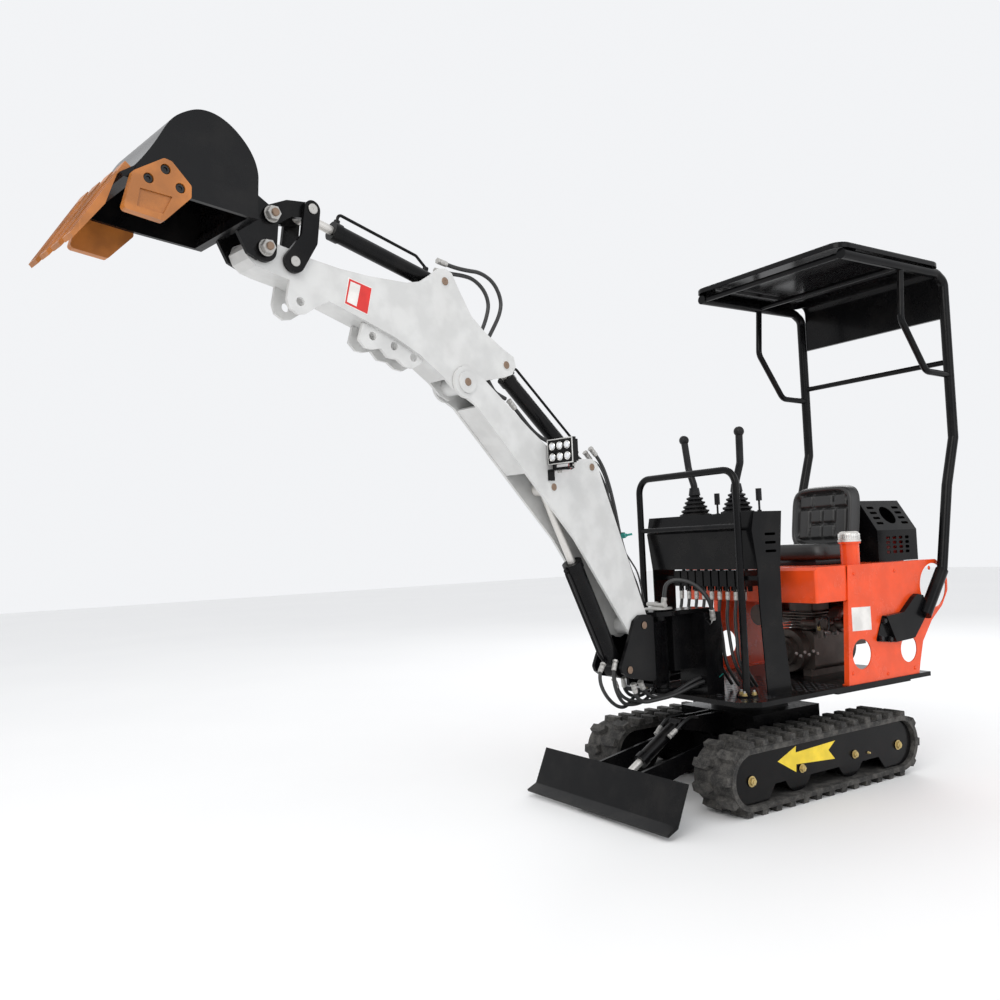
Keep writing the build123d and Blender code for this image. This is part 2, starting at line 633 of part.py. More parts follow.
def build_engine_cover():
    """Folded sheet hood with rows of slots and a large round opening in each sloping side."""
    view = Plane(origin=(COVER_REAR, 0, 0), x_dir=(0, 1, 0), z_dir=(1, 0, 0))
    outline = poly((-COVER_Y, COVER_LOW), (COVER_Y, COVER_LOW), (COVER_Y, COVER_BEND), (COVER_RIDGE, COVER_TOP),
                   (-COVER_RIDGE, COVER_TOP), (-COVER_Y, COVER_BEND))
    inner = offset(outline, amount=-COVER_SHEET, kind=Kind.INTERSECTION)
    length = COVER_FRONT - COVER_REAR
    middle = (COVER_FRONT + COVER_REAR) / 2
    cover = extrude(view * outline, amount=length, dir=(1, 0, 0))
    cover -= Pos(COVER_SHEET, 0, 0) * extrude(view * inner, amount=length - 2 * COVER_SHEET, dir=(1, 0, 0))
    cover -= block((COVER_REAR + 8, COVER_FRONT - 8), (-COVER_Y + 14, COVER_Y - 14),
                   (COVER_LOW - 1, COVER_LOW + 5))
    slot = SlotOverall(28, 13)
    for row in range(4):
        for column in range(4):
            at = Pos(middle - 67 + 45 * column, 871 + 20.3 * row)
            cover -= slab(at * slot, -COVER_Y - 5, COVER_Y + 5)
    cuts = Circle(45)
    for side in (-1, 1):
        for row in range(4):
            cuts += Pos(side * 88, 40 - 27 * row) * SlotOverall(48, 13)
    for side in (-1, 1):
        slope_face = Plane(origin=(middle, side * (COVER_Y + COVER_RIDGE) / 2, (COVER_BEND + COVER_TOP) / 2),
                           x_dir=(-side, 0, 0), z_dir=(0, side * (COVER_TOP - COVER_BEND), COVER_Y - COVER_RIDGE))
        cover -= extrude(slope_face * cuts, amount=14, both=True)
    return cover


def build_seat_base():
    """Box that carries the seat, closed at the front by the tank."""
    base = block((-600 + SEAT_GAP, -200), (-PANEL_Y + 44, PANEL_Y - 44), (700, PANEL_TOP - 3))
    return base - block((-594, -206), (-PANEL_Y + 50, PANEL_Y - 50), (690, PANEL_TOP - 9))


def build_seat():
    """Moulded pan seat: cushion and backrest, each sunk inside a thick rounded rim."""
    pan = Pos(-388, SEAT_Y, 850) * RectangleRounded(300, 2 * SEAT_HALF, 55)
    seat = fillet(extrude(pan, amount=72, dir=(0, 0, 1)).edges().group_by(Axis.Z)[-1], 26)
    dish = Pos(-398, SEAT_Y, 906) * RectangleRounded(210, 2 * SEAT_HALF - 100, 40)
    seat -= extrude(dish, amount=40, dir=(0, 0, 1))
    lean = Plane(origin=(-500, SEAT_Y, 900), x_dir=(0, 1, 0), z_dir=(1, 0, 0.14))
    rest = extrude(lean * Pos(0, 132) * RectangleRounded(2 * SEAT_HALF - 12, 290, 60), amount=-52)
    rest -= extrude(lean * Pos(0, 150) * RectangleRounded(2 * SEAT_HALF - 90, 200, 30), amount=-14)
    foot = block((-480, -300), (SEAT_Y - 110, SEAT_Y + 110), (PANEL_TOP - 3, 852))
    bracket = block((-575, -505), (SEAT_Y - 60, SEAT_Y + 60), (PANEL_TOP - 3, 905))
    return seat + rest + foot + bracket


def build_console():
    """Folded box for the levers on two tapered side sheets, with the control valve under it."""
    side = poly((CONSOLE_REAR, CONSOLE_TOP), (CONSOLE_FRONT, CONSOLE_TOP), (CONSOLE_FRONT + 16, 985),
                (CONSOLE_FRONT - 6, CONSOLE_LOW), (CONSOLE_REAR + 24, CONSOLE_LOW))
    inner = offset(side, amount=-CONSOLE_SHEET, kind=Kind.INTERSECTION)
    body = slab(side, CONSOLE_RIGHT, CONSOLE_LEFT)
    body -= slab(inner, CONSOLE_RIGHT + CONSOLE_SHEET, CONSOLE_LEFT - CONSOLE_SHEET)
    body -= block((CONSOLE_REAR + 34, CONSOLE_FRONT - 16), (CONSOLE_RIGHT + 14, CONSOLE_LEFT - 14),
                  (CONSOLE_LOW - 5, CONSOLE_LOW + 10))
    for row in range(3):
        slot = Pos(CONSOLE_REAR + 70, 905 + 32 * row) * SlotOverall(60, 10)
        body -= slab(slot, CONSOLE_LEFT - 10, CONSOLE_LEFT + 10)
    leg = poly((58, DECK_TOP), (190, DECK_TOP), (208, 700), (CONSOLE_FRONT - 6, CONSOLE_LOW + 4),
               (CONSOLE_REAR + 24, CONSOLE_LOW + 4), (90, 640))
    for low in (CONSOLE_RIGHT, CONSOLE_LEFT - CONSOLE_SHEET):
        body += slab(leg, low, low + CONSOLE_SHEET)
    return body + build_control_valve()


def build_control_valve():
    """Row of valve sections between two end plates, each with a port below."""
    pitch = 42
    first = (CONSOLE_RIGHT + CONSOLE_LEFT) / 2 - pitch * (VALVE_SECTIONS - 1) / 2
    last = first + pitch * (VALVE_SECTIONS - 1)
    valve = block((110, 176), (first - 22, last + 22), (782, 826))
    valve += block((118, 168), (CONSOLE_RIGHT + 1, CONSOLE_LEFT - 1), (796, 812))
    for number in range(VALVE_SECTIONS):
        y = first + pitch * number
        valve += block((102, 184), (y - 17, y + 17), (772, 834))
        valve += upright(160, y, 10, 752, 774) + upright(126, y, 10, 752, 774)
        valve += upright(143, y, 7, 830, 868)
    return valve


def build_joysticks():
    """Two levers, each with a ringed rubber boot, a bent stem and a swelling grip."""
    sticks = []
    rise = 17
    for side in (-1, 1):
        y = STICK_Y * side
        edge = [(0, 0)]
        for ring in range(BOOT_RINGS):
            reach = BOOT_R - ring * 7.5
            edge += [(reach, ring * rise), (reach, ring * rise + 6), (reach - 15, ring * rise + 12)]
        edge += [(24, BOOT_RINGS * rise), (19, BOOT_RINGS * rise + 30), (0, BOOT_RINGS * rise + 30)]
        profile = make_face(Plane.XZ * Polyline(*edge, close=True))
        boot = Pos(STICK_X, y, CONSOLE_TOP + SEAT_GAP) * revolve(profile, Axis.Z)
        low = CONSOLE_TOP + BOOT_RINGS * rise
        stem = tube([(STICK_X, y, low), (STICK_X, y, low + 40), (STICK_X, y + 26 * side, low + 110),
                     (STICK_X + 8, y + 36 * side, low + 232)], 14, 45)
        knob = Pos(STICK_X + 8, y + 36 * side, low + 230) * Sphere(20)
        sticks.append(boot + stem + knob)
    return Compound(children=sticks)


def build_levers():
    levers = []
    for x, y in ((150, 240), (80, -38)):
        base = upright(x, y, 8, CONSOLE_TOP + SEAT_GAP, CONSOLE_TOP + 6)
        levers.append(base + upright(x, y, 4, CONSOLE_TOP + 4, 1100) + upright(x, y, 11, 1096, 1142))
    return Compound(children=levers)


def build_hoop():
    top = HOOP_TOP
    hoop = tube([(HOOP_X, HOOP_LEFT, DECK_TOP), (HOOP_X, HOOP_LEFT, top), (HOOP_X, HOOP_RIGHT, top),
                 (HOOP_X, HOOP_RIGHT, DECK_TOP)], HOOP_R, HOOP_BEND)
    hoop += tube([(HOOP_X, HOOP_LEFT, HOOP_BAR_Z), (HOOP_X, HOOP_RIGHT, HOOP_BAR_Z)], 10, 1)
    for y in (HOOP_LEFT, HOOP_RIGHT):
        hoop += upright(HOOP_X, y, 38, DECK_TOP, DECK_TOP + 6)
    return hoop


def post_line(y):
    return [(-700, y, 675), (-793, y, 792), (-868, y, 1144), (-940, y, 1350), (-940, y, RAIL_Z - 30),
            (-885, y, RAIL_Z), (-245, y, RAIL_Z)]


def build_canopy_frame():
    frame = None
    for y in (-POST_Y, POST_Y):
        post = tube(post_line(y), POST_R, 40)
        brace = tube([(-633, y, RAIL_Z), (-615, y, RAIL_Z - 225), (-770, y, RAIL_Z - 432),
                      (-940, y, RAIL_Z - 437)], HOOP_R, 50)
        frame = post + brace if frame is None else frame + post + brace
    for x, z in ((-940, RAIL_Z - 379), (-262, RAIL_Z), (-633, RAIL_Z)):
        frame += tube([(x, -POST_Y, z), (x, POST_Y, z)], 12, 1)
    return frame


def build_canopy_roof():
    """Pressed roof on the rails: a skirt all round, a raised field and a tail between the posts."""
    low = RAIL_Z + POST_R + SEAT_GAP
    length = ROOF_FRONT - ROOF_REAR
    middle = (ROOF_FRONT + ROOF_REAR) / 2
    high = low + ROOF_SKIRT
    outline = RectangleRounded(length, 2 * ROOF_HALF, ROOF_CORNER)
    roof = extrude(Pos(middle, 0, low) * outline, amount=ROOF_SKIRT)
    roof = fillet(roof.edges().group_by(Axis.Z)[-1], 10)
    inside = RectangleRounded(length - 2 * ROOF_SHEET, 2 * (ROOF_HALF - ROOF_SHEET), ROOF_CORNER - ROOF_SHEET)
    roof -= extrude(Pos(middle, 0, low - 1) * inside, amount=ROOF_SKIRT + 1 - ROOF_SHEET)
    field = RectangleRounded(length - 130, 2 * ROOF_HALF - 130, ROOF_CORNER)
    crown = extrude(Pos(middle, 0, high - 1) * field, amount=ROOF_CROWN, taper=60)
    roof = roof + crown - Pos(0, 0, -ROOF_SHEET) * crown
    for x in (-300, -820):
        for y in (-POST_Y, POST_Y):
            roof += block((x - 30, x + 30), (y - 10, y + 10), (low, high - 2))
    half = POST_Y - POST_R - 3
    bend = FilletPolyline((ROOF_REAR + 10, low + 8), (-944, low + 8), (-944, TAIL_LOW), radius=36)
    tail = trace(bend, line_width=ROOF_SHEET)
    return roof + slab(tail, -half, half) + block((-944, -930), (-half, half), (TAIL_LOW, TAIL_LOW + ROOF_SHEET))


def build_canopy_bracket():
    """Folded bracket: a bolted foot, a raised field and the socket that takes the post."""
    foot = soft(poly((-400, 626), (-352, 529), (-478, 515), (-600, 521), (-560, 629)), 8)
    bracket = slab(foot, PANEL_Y + SEAT_GAP, PANEL_Y + 5.3)
    field = poly((-402, 625), (-456, 521), (-581, 526), (-680, 621), (-676, 645), (-655, 692),
                 (-620, 700), (-596, 690), (-517, 633))
    bracket += slab(field, PANEL_Y + SEAT_GAP, PANEL_Y + 22)
    bracket -= slab(offset(field, amount=-5, kind=Kind.INTERSECTION), PANEL_Y, PANEL_Y + 17)
    bracket += tube([(-650, POST_Y, 612), (-790, POST_Y, 788.2)], POST_R + 5, 1)
    for hole in ((-398, 607), (-372, 540), (-430, 531)):
        bracket += cross(hole, 9, PANEL_Y + 5, PANEL_Y + 11)
    return bracket - tube(post_line(POST_Y)[:4], POST_R + SEAT_GAP, 40)


def build_work_light():
    """Six-lamp light on a bent strap beside the boom, with cooling fins behind."""
    s, w, z = LIGHT_AT
    light = block((s, s + 16), (w - 56, w + 56), (z - 42, z + 42))
    for number in range(7):
        y = w - 48 + 16 * number
        light += block((s - 16, s + 1), (y - 2, y + 2), (z - 36, z + 36))
    for row in (-1, 1):
        for column in (-1, 0, 1):
            lens = (z + 18 * row, w + 33 * column)
            ring = Pos(s + 16, lens[1], lens[0]) * Rot(0, 90, 0) * Cylinder(14, 3)
            light += ring
    light += block((s - 4, s + 12), (w - 40, w + 40), (z - 56, z - 52))
    for y in (w - 40, w + 36):
        light += block((s - 4, s + 12), (y, y + 4), (z - 56, z - 40))
    light += block((s - 14, s + 14), (BOOM_OUT + SEAT_GAP, w + 14), (z - 61, z - 56))
    light += block((s - 14, s + 14), (BOOM_OUT + SEAT_GAP, BOOM_OUT + 5), (z - 92, z - 56))
    return light


NODES = {}


def build_all():
    track = build_track()
    frame = build_track_frame()
    wheels = build_wheels()
    NODES["track_left"] = track
    NODES["track_right"] = mirrored(track)
    NODES["track_frame_left"] = frame
    NODES["track_frame_right"] = mirrored(frame)
    NODES["track_wheels_left"] = wheels
    NODES["track_wheels_right"] = mirrored(wheels)
    NODES["carbody"] = build_carbody()
    NODES["blade"] = build_blade()
    NODES["blade_barrel"] = build_barrel(BLADE_CYL_BASE, BLADE_CYL_EYE, 25, 20, 18, 228, 14.3, line=0)
    NODES["blade_rod"] = build_rod(BLADE_CYL_BASE, BLADE_CYL_EYE, 14, 20, 18, 140)
    NODES["deck"] = build_deck()
    NODES["king_post"] = build_king_post()
    panel = build_panel()
    NODES["panel_left"] = panel
    NODES["panel_right"] = mirrored(panel)
    NODES["tank"] = build_tank()
    NODES["tank_filler"] = build_filler()
    NODES["tank_cap"] = build_cap()
    NODES["engine"] = build_engine()
    NODES["engine_cover"] = build_engine_cover()
    NODES["seat_base"] = build_seat_base()
    NODES["seat"] = build_seat()
    NODES["console"] = build_console()
    NODES["joysticks"] = build_joysticks()
    NODES["small_levers"] = build_levers()
    NODES["guard_hoop"] = build_hoop()
    NODES["canopy_frame"] = build_canopy_frame()
    NODES["canopy_roof"] = build_canopy_roof()
    bracket = build_canopy_bracket()
    NODES["canopy_bracket_left"] = bracket
    NODES["canopy_bracket_right"] = mirrored(bracket)
    front = {
        "swing_bracket": build_swing_bracket(),
        "boom": build_boom(),
        "work_light": build_work_light(),
        "lift_barrel": build_barrel(LIFT_BASE, LIFT_EYE, 32.5, 28, 27, 438, 14.3, line=-14),
        "lift_rod": build_rod(LIFT_BASE, LIFT_EYE, 14, 25, 24, 272),
        "crowd_barrel": build_barrel(CROWD_BASE, CROWD_EYE, 26, 24, 22, 452, 12.8, 40, line=32),
        "crowd_rod": build_rod(CROWD_BASE, CROWD_EYE, 12.5, 22, 20, 52),
        "arm": build_arm(),
        "curl_barrel": build_barrel(CURL_BASE, ROCKER_TOP, 25, 22, 20, 386, 12.8, line=32),
        "curl_rod": build_rod(CURL_BASE, ROCKER_TOP, 12.5, 21, 18, 200),
        "rocker": build_rocker(),
        "bucket_link": build_bucket_link(),
        "bucket": build_bucket(),
        "bucket_teeth": build_teeth(),
        "side_cutters": build_cutters(),
    }
    for name, shape in front.items():
        NODES[name] = swing_place(shape)
    build_swing_cylinder()


def build_swing_cylinder():
    """Cylinder lying beside the deck that turns the swing bracket."""
    turn = radians(SWING_LUG_ANGLE + REST_SWING)
    eye = (POST_X + SWING_LUG_R * cos(turn), SWING_LUG_R * sin(turn))
    angle = slope(SWING_BASE, eye)
    length = span(SWING_BASE, eye)
    place = Pos(SWING_BASE[0], SWING_BASE[1], SWING_Z) * Rot(0, 0, angle)
    barrel = lying(23, 32, 252) + Cylinder(20, 36) + lying(14, 0, 40)
    barrel = barrel - Cylinder(PIN_R + PIN_PLAY, 60) - lying(12.3, 50, 400)
    rod = lying(12, 150, length - 212) + Pos(length, 0, 0) * Cylinder(17, 10)
    rod += Pos(length - 33, 0, 0) * Box(66, 22, 10)
    NODES["swing_barrel"] = place * barrel
    NODES["swing_rod"] = place * rod
    base = upright(SWING_BASE[0], SWING_BASE[1], PIN_R, DECK_TOP - 1, SWING_Z + 24)
    base += upright(SWING_BASE[0], SWING_BASE[1], 24, DECK_TOP - 1, SWING_Z - 18.5)
    NODES["deck"] += base


def middle_of_footprint():
    boxes = [shape.bounding_box() for shape in NODES.values()]
    x = (min(b.min.X for b in boxes) + max(b.max.X for b in boxes)) / 2
    y = (min(b.min.Y for b in boxes) + max(b.max.Y for b in boxes)) / 2
    return x, y, min(b.min.Z for b in boxes)


def main():
    build_all()
    x, y, z = middle_of_footprint()
    os.makedirs("parts", exist_ok=True)
    for name, shape in NODES.items():
        export_step(Pos(-x, -y, -z) * shape, "parts/" + name + ".step")
    print("footprint middle", round(x, 2), round(y, 2), "ground", round(z, 3))


if __name__ == "__main__":
    main()
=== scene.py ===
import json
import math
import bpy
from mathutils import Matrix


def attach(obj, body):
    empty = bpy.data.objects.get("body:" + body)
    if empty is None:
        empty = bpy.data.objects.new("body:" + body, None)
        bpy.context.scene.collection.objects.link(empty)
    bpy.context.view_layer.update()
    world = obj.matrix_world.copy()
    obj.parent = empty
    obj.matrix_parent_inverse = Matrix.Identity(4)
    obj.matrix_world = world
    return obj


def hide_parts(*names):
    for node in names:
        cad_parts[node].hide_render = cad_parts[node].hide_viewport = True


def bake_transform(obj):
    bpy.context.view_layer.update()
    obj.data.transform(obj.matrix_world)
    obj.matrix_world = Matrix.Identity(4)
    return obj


bl_info = {
    "name": "Tracked excavator",
    "version": (1, 0, 0),
    "blender": (4, 5, 0),
    "location": "3D Viewport > Sidebar > Excavator",
    "description": "Finishes and small parts of a tracked excavator, round its packed solids",
    "category": "Add Mesh",
}

import bmesh
import bpy
from mathutils import Matrix, Vector

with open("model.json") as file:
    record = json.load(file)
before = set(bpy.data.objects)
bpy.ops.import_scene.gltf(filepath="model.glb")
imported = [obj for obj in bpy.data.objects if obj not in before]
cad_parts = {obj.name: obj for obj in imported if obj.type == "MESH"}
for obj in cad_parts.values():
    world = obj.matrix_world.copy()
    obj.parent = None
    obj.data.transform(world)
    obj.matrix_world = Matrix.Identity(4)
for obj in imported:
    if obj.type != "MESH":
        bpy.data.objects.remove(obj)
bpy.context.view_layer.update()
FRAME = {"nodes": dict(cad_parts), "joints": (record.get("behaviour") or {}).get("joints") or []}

# The machine's own axes: millimetres from the slewing axis, on the ground.
SLEW_AT = Vector(next(j for j in FRAME["joints"] if j["name"] == "slew")["pos_m"])
POST_X = 468
REST_SWING = math.radians(10)


def spot(x, y, z):
    """Place on the machine, given ahead of, left of and above the slewing axis."""
    return Vector((SLEW_AT.x + x / 1000, SLEW_AT.y + y / 1000, z / 1000))


def boom_spot(s, w, z):
    """Place on the front linkage, in the plane that the boom swings with."""
    x = POST_X + s * math.cos(REST_SWING) - w * math.sin(REST_SWING)
    y = s * math.sin(REST_SWING) + w * math.cos(REST_SWING)
    return spot(x, y, z)


AHEAD = Vector((1, 0, 0))
LEFT = Vector((0, 1, 0))
UP = Vector((0, 0, 1))
BOOM_AHEAD = Vector((math.cos(REST_SWING), math.sin(REST_SWING), 0))
BOOM_LEFT = Vector((-math.sin(REST_SWING), math.cos(REST_SWING), 0))


# Sizes and colours that a user would change


class PaintColours(bpy.types.PropertyGroup):
    boom: bpy.props.FloatVectorProperty(
        name="Boom and arm", description="Light paint of the boom and the arm",
        subtype="COLOR", size=3, min=0, max=1, default=(0.60, 0.60, 0.59))
    body: bpy.props.FloatVectorProperty(
        name="Panels", description="Paint of the side panels and the tank",
        subtype="COLOR", size=3, min=0, max=1, default=(0.82, 0.075, 0.012))
    frame: bpy.props.FloatVectorProperty(
        name="Frames", description="Dark paint of the frames, the bucket and the cylinders",
        subtype="COLOR", size=3, min=0, max=1, default=(0.0035, 0.0035, 0.004))
    cast: bpy.props.FloatVectorProperty(
        name="Teeth", description="Paint of the teeth and the side cutters",
        subtype="COLOR", size=3, min=0, max=1, default=(0.40, 0.135, 0.022))
    arrow: bpy.props.FloatVectorProperty(
        name="Arrows", description="Arrows on the track frames that point forward",
        subtype="COLOR", size=3, min=0, max=1, default=(0.85, 0.62, 0.03))


class StageSizes(bpy.types.PropertyGroup):
    floor: bpy.props.FloatProperty(
        name="Floor", description="Width of the floor", subtype="DISTANCE",
        unit="LENGTH", min=5, default=40)
    lens: bpy.props.FloatProperty(
        name="Lens", description="Focal length of the camera, in millimetres", min=10, default=33.75)


# Shader groups


def group_of(name, inputs, outputs):
    """New shader group with its sockets; inputs hold a kind and a default."""
    tree = bpy.data.node_groups.new(name, "ShaderNodeTree")
    for label, (kind, value) in inputs.items():
        socket = tree.interface.new_socket(label, in_out="INPUT", socket_type=kind)
        socket.default_value = value
    for label, kind in outputs.items():
        tree.interface.new_socket(label, in_out="OUTPUT", socket_type=kind)
    tree.nodes.new("NodeGroupInput")
    tree.nodes.new("NodeGroupOutput")
    return tree


FLOAT = "NodeSocketFloat"
COLOUR = "NodeSocketColor"


def ends(tree):
    return tree.nodes["Group Input"].outputs, tree.nodes["Group Output"].inputs


def node(tree, kind, values=None, **settings):
    """New node with its settings, and with links or values for its inputs."""
    made = tree.nodes.new("ShaderNode" + kind)
    for key, value in settings.items():
        setattr(made, key, value)
    for key, value in (values or {}).items():
        if isinstance(value, bpy.types.NodeSocket):
            tree.links.new(value, made.inputs[key])
        else:
            made.inputs[key].default_value = value
    return made


def place_of(tree):
    return node(tree, "TexCoord").outputs["Object"]


def ramp(tree, source, low, high):
    """Smooth step of a value from 0 at low to 1 at high."""
    return node(tree, "MapRange", {"Value": source, "From Min": low, "From Max": high},
                interpolation_type="SMOOTHSTEP").outputs["Result"]


def mix(tree, share, first, second):
    made = node(tree, "Mix", data_type="RGBA")
    for key, value in ((0, share), (6, first), (7, second)):
        if isinstance(value, bpy.types.NodeSocket):
            tree.links.new(value, made.inputs[key])
        else:
            made.inputs[key].default_value = value
    return made.outputs[2]


def maths(tree, kind, first, second):
    return node(tree, "Math", {0: first, 1: second}, operation=kind).outputs[0]


def dust_group():
    """Dust that lies on upward faces and in patches."""
    tree = group_of("Dust", {"Amount": (FLOAT, 0.3), "Scale": (FLOAT, 9.0)}, {"Mask": FLOAT})
    given, out = ends(tree)
    patch = node(tree, "TexNoise", {"Vector": place_of(tree), "Scale": given["Scale"], "Detail": 6.0,
                                    "Roughness": 0.65})
    up = node(tree, "SeparateXYZ", {"Vector": node(tree, "NewGeometry").outputs["Normal"]}).outputs["Z"]
    lies = maths(tree, "MULTIPLY_ADD", ramp(tree, up, 0.2, 0.95), 0.75)
    patchy = ramp(tree, patch.outputs["Fac"], 0.42, 0.72)
    mask = maths(tree, "MULTIPLY", maths(tree, "MULTIPLY", lies, patchy), given["Amount"])
    tree.links.new(mask, out["Mask"])
    return tree


def wear_group():
    """Fine scratches and scuffs, as a mask and as a height."""
    tree = group_of("Scuffs", {"Scale": (FLOAT, 60.0), "Amount": (FLOAT, 0.3)},
                    {"Mask": FLOAT, "Height": FLOAT})
    given, out = ends(tree)
    place = place_of(tree)
    stretch = node(tree, "Mapping", {"Vector": place, "Scale": (1.0, 1.0, 0.22)}).outputs["Vector"]
    lines = node(tree, "TexNoise", {"Vector": stretch, "Scale": given["Scale"], "Detail": 9.0, "Roughness": 0.7})
    where = node(tree, "TexNoise", {"Vector": place, "Scale": 5.0, "Detail": 3.0})
    mask = maths(tree, "MULTIPLY", ramp(tree, lines.outputs["Fac"], 0.58, 0.7),
                 ramp(tree, where.outputs["Fac"], 0.45, 0.65))
    mask = maths(tree, "MULTIPLY", mask, given["Amount"])
    tree.links.new(mask, out["Mask"])
    tree.links.new(lines.outputs["Fac"], out["Height"])
    return tree


def grain_group():
    """Fine grain of a moulded or cast surface."""
    tree = group_of("Grain", {"Scale": (FLOAT, 400.0), "Contrast": (FLOAT, 0.5)}, {"Height": FLOAT, "Tint": FLOAT})
    given, out = ends(tree)
    place = place_of(tree)
    cells = node(tree, "TexVoronoi", {"Vector": place, "Scale": given["Scale"]}, feature="F1")
    cloud = node(tree, "TexNoise", {"Vector": place, "Scale": 14.0, "Detail": 5.0})
    height = maths(tree, "MULTIPLY", cells.outputs["Distance"], given["Contrast"])
    tree.links.new(height, out["Height"])
    tree.links.new(ramp(tree, cloud.outputs["Fac"], 0.35, 0.68), out["Tint"])
    return tree


def place_group(tree, group, **values):
    made = tree.nodes.new("ShaderNodeGroup")
    made.node_tree = bpy.data.node_groups[group]
    for key, value in values.items():
        made.inputs[key].default_value = value
    return made.outputs


def finish_of(name):
    """New material with its tree and its main shader."""
    material = bpy.data.materials.new(name)
    material.use_nodes = True
    tree = material.node_tree
    return material, tree, tree.nodes["Principled BSDF"]


def bump(tree, shader, height, strength, distance):
    made = node(tree, "Bump", {"Height": height, "Strength": strength, "Distance": distance})
    tree.links.new(made.outputs["Normal"], shader.inputs["Normal"])


def shade(colour, by):
    return tuple(min(1.0, c * by) for c in colour[:3]) + (1.0,)


DUST_COLOUR = (0.30, 0.27, 0.235, 1.0)


def gloss_paint(name, colour, dust=0.3, rough=0.22, scuffs=0.25, worn=(0.25, 0.24, 0.23, 1.0), gloss=0.35):
    """Sprayed paint: slight orange peel, dust on top, scuffs along its faces."""
    material, tree, shader = finish_of(name)
    grain = place_group(tree, "Grain", Scale=260.0, Contrast=0.5)
    wear = place_group(tree, "Scuffs", Scale=70.0, Amount=scuffs)
    soil = place_group(tree, "Dust", Amount=dust, Scale=8.0)
    base = mix(tree, grain["Tint"], shade(colour, 0.93), shade(colour, 1.06))
    base = mix(tree, wear["Mask"], base, worn)
    base = mix(tree, soil["Mask"], base, DUST_COLOUR)
    tree.links.new(base, shader.inputs["Base Color"])
    spread = maths(tree, "ADD", maths(tree, "MULTIPLY", soil["Mask"], 0.7), rough)
    spread = maths(tree, "ADD", spread, maths(tree, "MULTIPLY", wear["Mask"], 0.3))
    tree.links.new(spread, shader.inputs["Roughness"])
    shader.inputs["Coat Weight"].default_value = 0.4 * gloss
    shader.inputs["Specular IOR Level"].default_value = gloss
    shader.inputs["Coat Roughness"].default_value = 0.08
    bump(tree, shader, grain["Height"], 0.05, 0.0006)
    return material


def cast_finish(name, colour, rough=0.5, metal=0.0):
    """Painted or bare casting with a sandy skin and rubbed spots."""
    material, tree, shader = finish_of(name)
    grain = place_group(tree, "Grain", Scale=520.0, Contrast=1.0)
    wear = place_group(tree, "Scuffs", Scale=40.0, Amount=0.5)
    base = mix(tree, grain["Tint"], shade(colour, 0.8), shade(colour, 1.15))
    base = mix(tree, wear["Mask"], base, shade(colour, 1.9))
    tree.links.new(base, shader.inputs["Base Color"])
    shader.inputs["Roughness"].default_value = rough
    shader.inputs["Metallic"].default_value = metal
    bump(tree, shader, grain["Height"], 0.25, 0.0009)
    return material


def bright_metal(name, colour, rough, scale=200.0):
    """Plated or turned metal with a little streaking."""
    material, tree, shader = finish_of(name)
    place = node(tree, "Mapping", {"Vector": place_of(tree), "Scale": (1.0, 1.0, 8.0)}).outputs["Vector"]
    streak = node(tree, "TexNoise", {"Vector": place, "Scale": scale, "Detail": 4.0}).outputs["Fac"]
    tree.links.new(mix(tree, ramp(tree, streak, 0.3, 0.7), shade(colour, 0.88), shade(colour, 1.05)),
                   shader.inputs["Base Color"])
    tree.links.new(maths(tree, "MULTIPLY_ADD", streak, rough), shader.inputs["Roughness"])
    shader.inputs["Metallic"].default_value = 1.0
    return material


def track_rubber():
    """Dark tread with grey, dusty patches and fine lighter flecks."""
    material, tree, shader = finish_of("track_rubber")
    place = place_of(tree)
    cloud = node(tree, "TexNoise", {"Vector": place, "Scale": 26.0, "Detail": 7.0, "Roughness": 0.7})
    fine = node(tree, "TexNoise", {"Vector": place, "Scale": 240.0, "Detail": 5.0})
    base = mix(tree, ramp(tree, cloud.outputs["Fac"], 0.38, 0.7), (0.016, 0.0155, 0.015, 1), (0.085, 0.08, 0.073, 1))
    base = mix(tree, maths(tree, "MULTIPLY", ramp(tree, fine.outputs["Fac"], 0.5, 0.72), 0.35), base,
               (0.16, 0.15, 0.135, 1))
    tree.links.new(base, shader.inputs["Base Color"])
    shader.inputs["Roughness"].default_value = 0.82
    bump(tree, shader, fine.outputs["Fac"], 0.35, 0.0012)
    return material


def soft_black(name, colour=(0.005, 0.005, 0.0055), rough=0.45, scale=420.0):
    """Moulded rubber, vinyl or plastic with a leather-like grain."""
    material, tree, shader = finish_of(name)
    grain = place_group(tree, "Grain", Scale=scale, Contrast=0.9)
    soil = place_group(tree, "Dust", Amount=0.05, Scale=12.0)
    base = mix(tree, grain["Tint"], shade(colour, 0.8), shade(colour, 1.4))
    base = mix(tree, soil["Mask"], base, DUST_COLOUR)
    tree.links.new(base, shader.inputs["Base Color"])
    shader.inputs["Roughness"].default_value = rough
    shader.inputs["Specular IOR Level"].default_value = 0.2
    bump(tree, shader, grain["Height"], 0.22, 0.0006)
    return material


def plain_finish(name, colour, rough=0.5, metal=0.0, tint=0.12):
    """Small things: a colour with slight patches."""
    material, tree, shader = finish_of(name)
    grain = place_group(tree, "Grain", Scale=300.0, Contrast=0.4)
    tree.links.new(mix(tree, grain["Tint"], shade(colour, 1 - tint), shade(colour, 1 + tint)),
                   shader.inputs["Base Color"])
    shader.inputs["Roughness"].default_value = rough
    shader.inputs["Metallic"].default_value = metal
    bump(tree, shader, grain["Height"], 0.08, 0.0004)
    return material


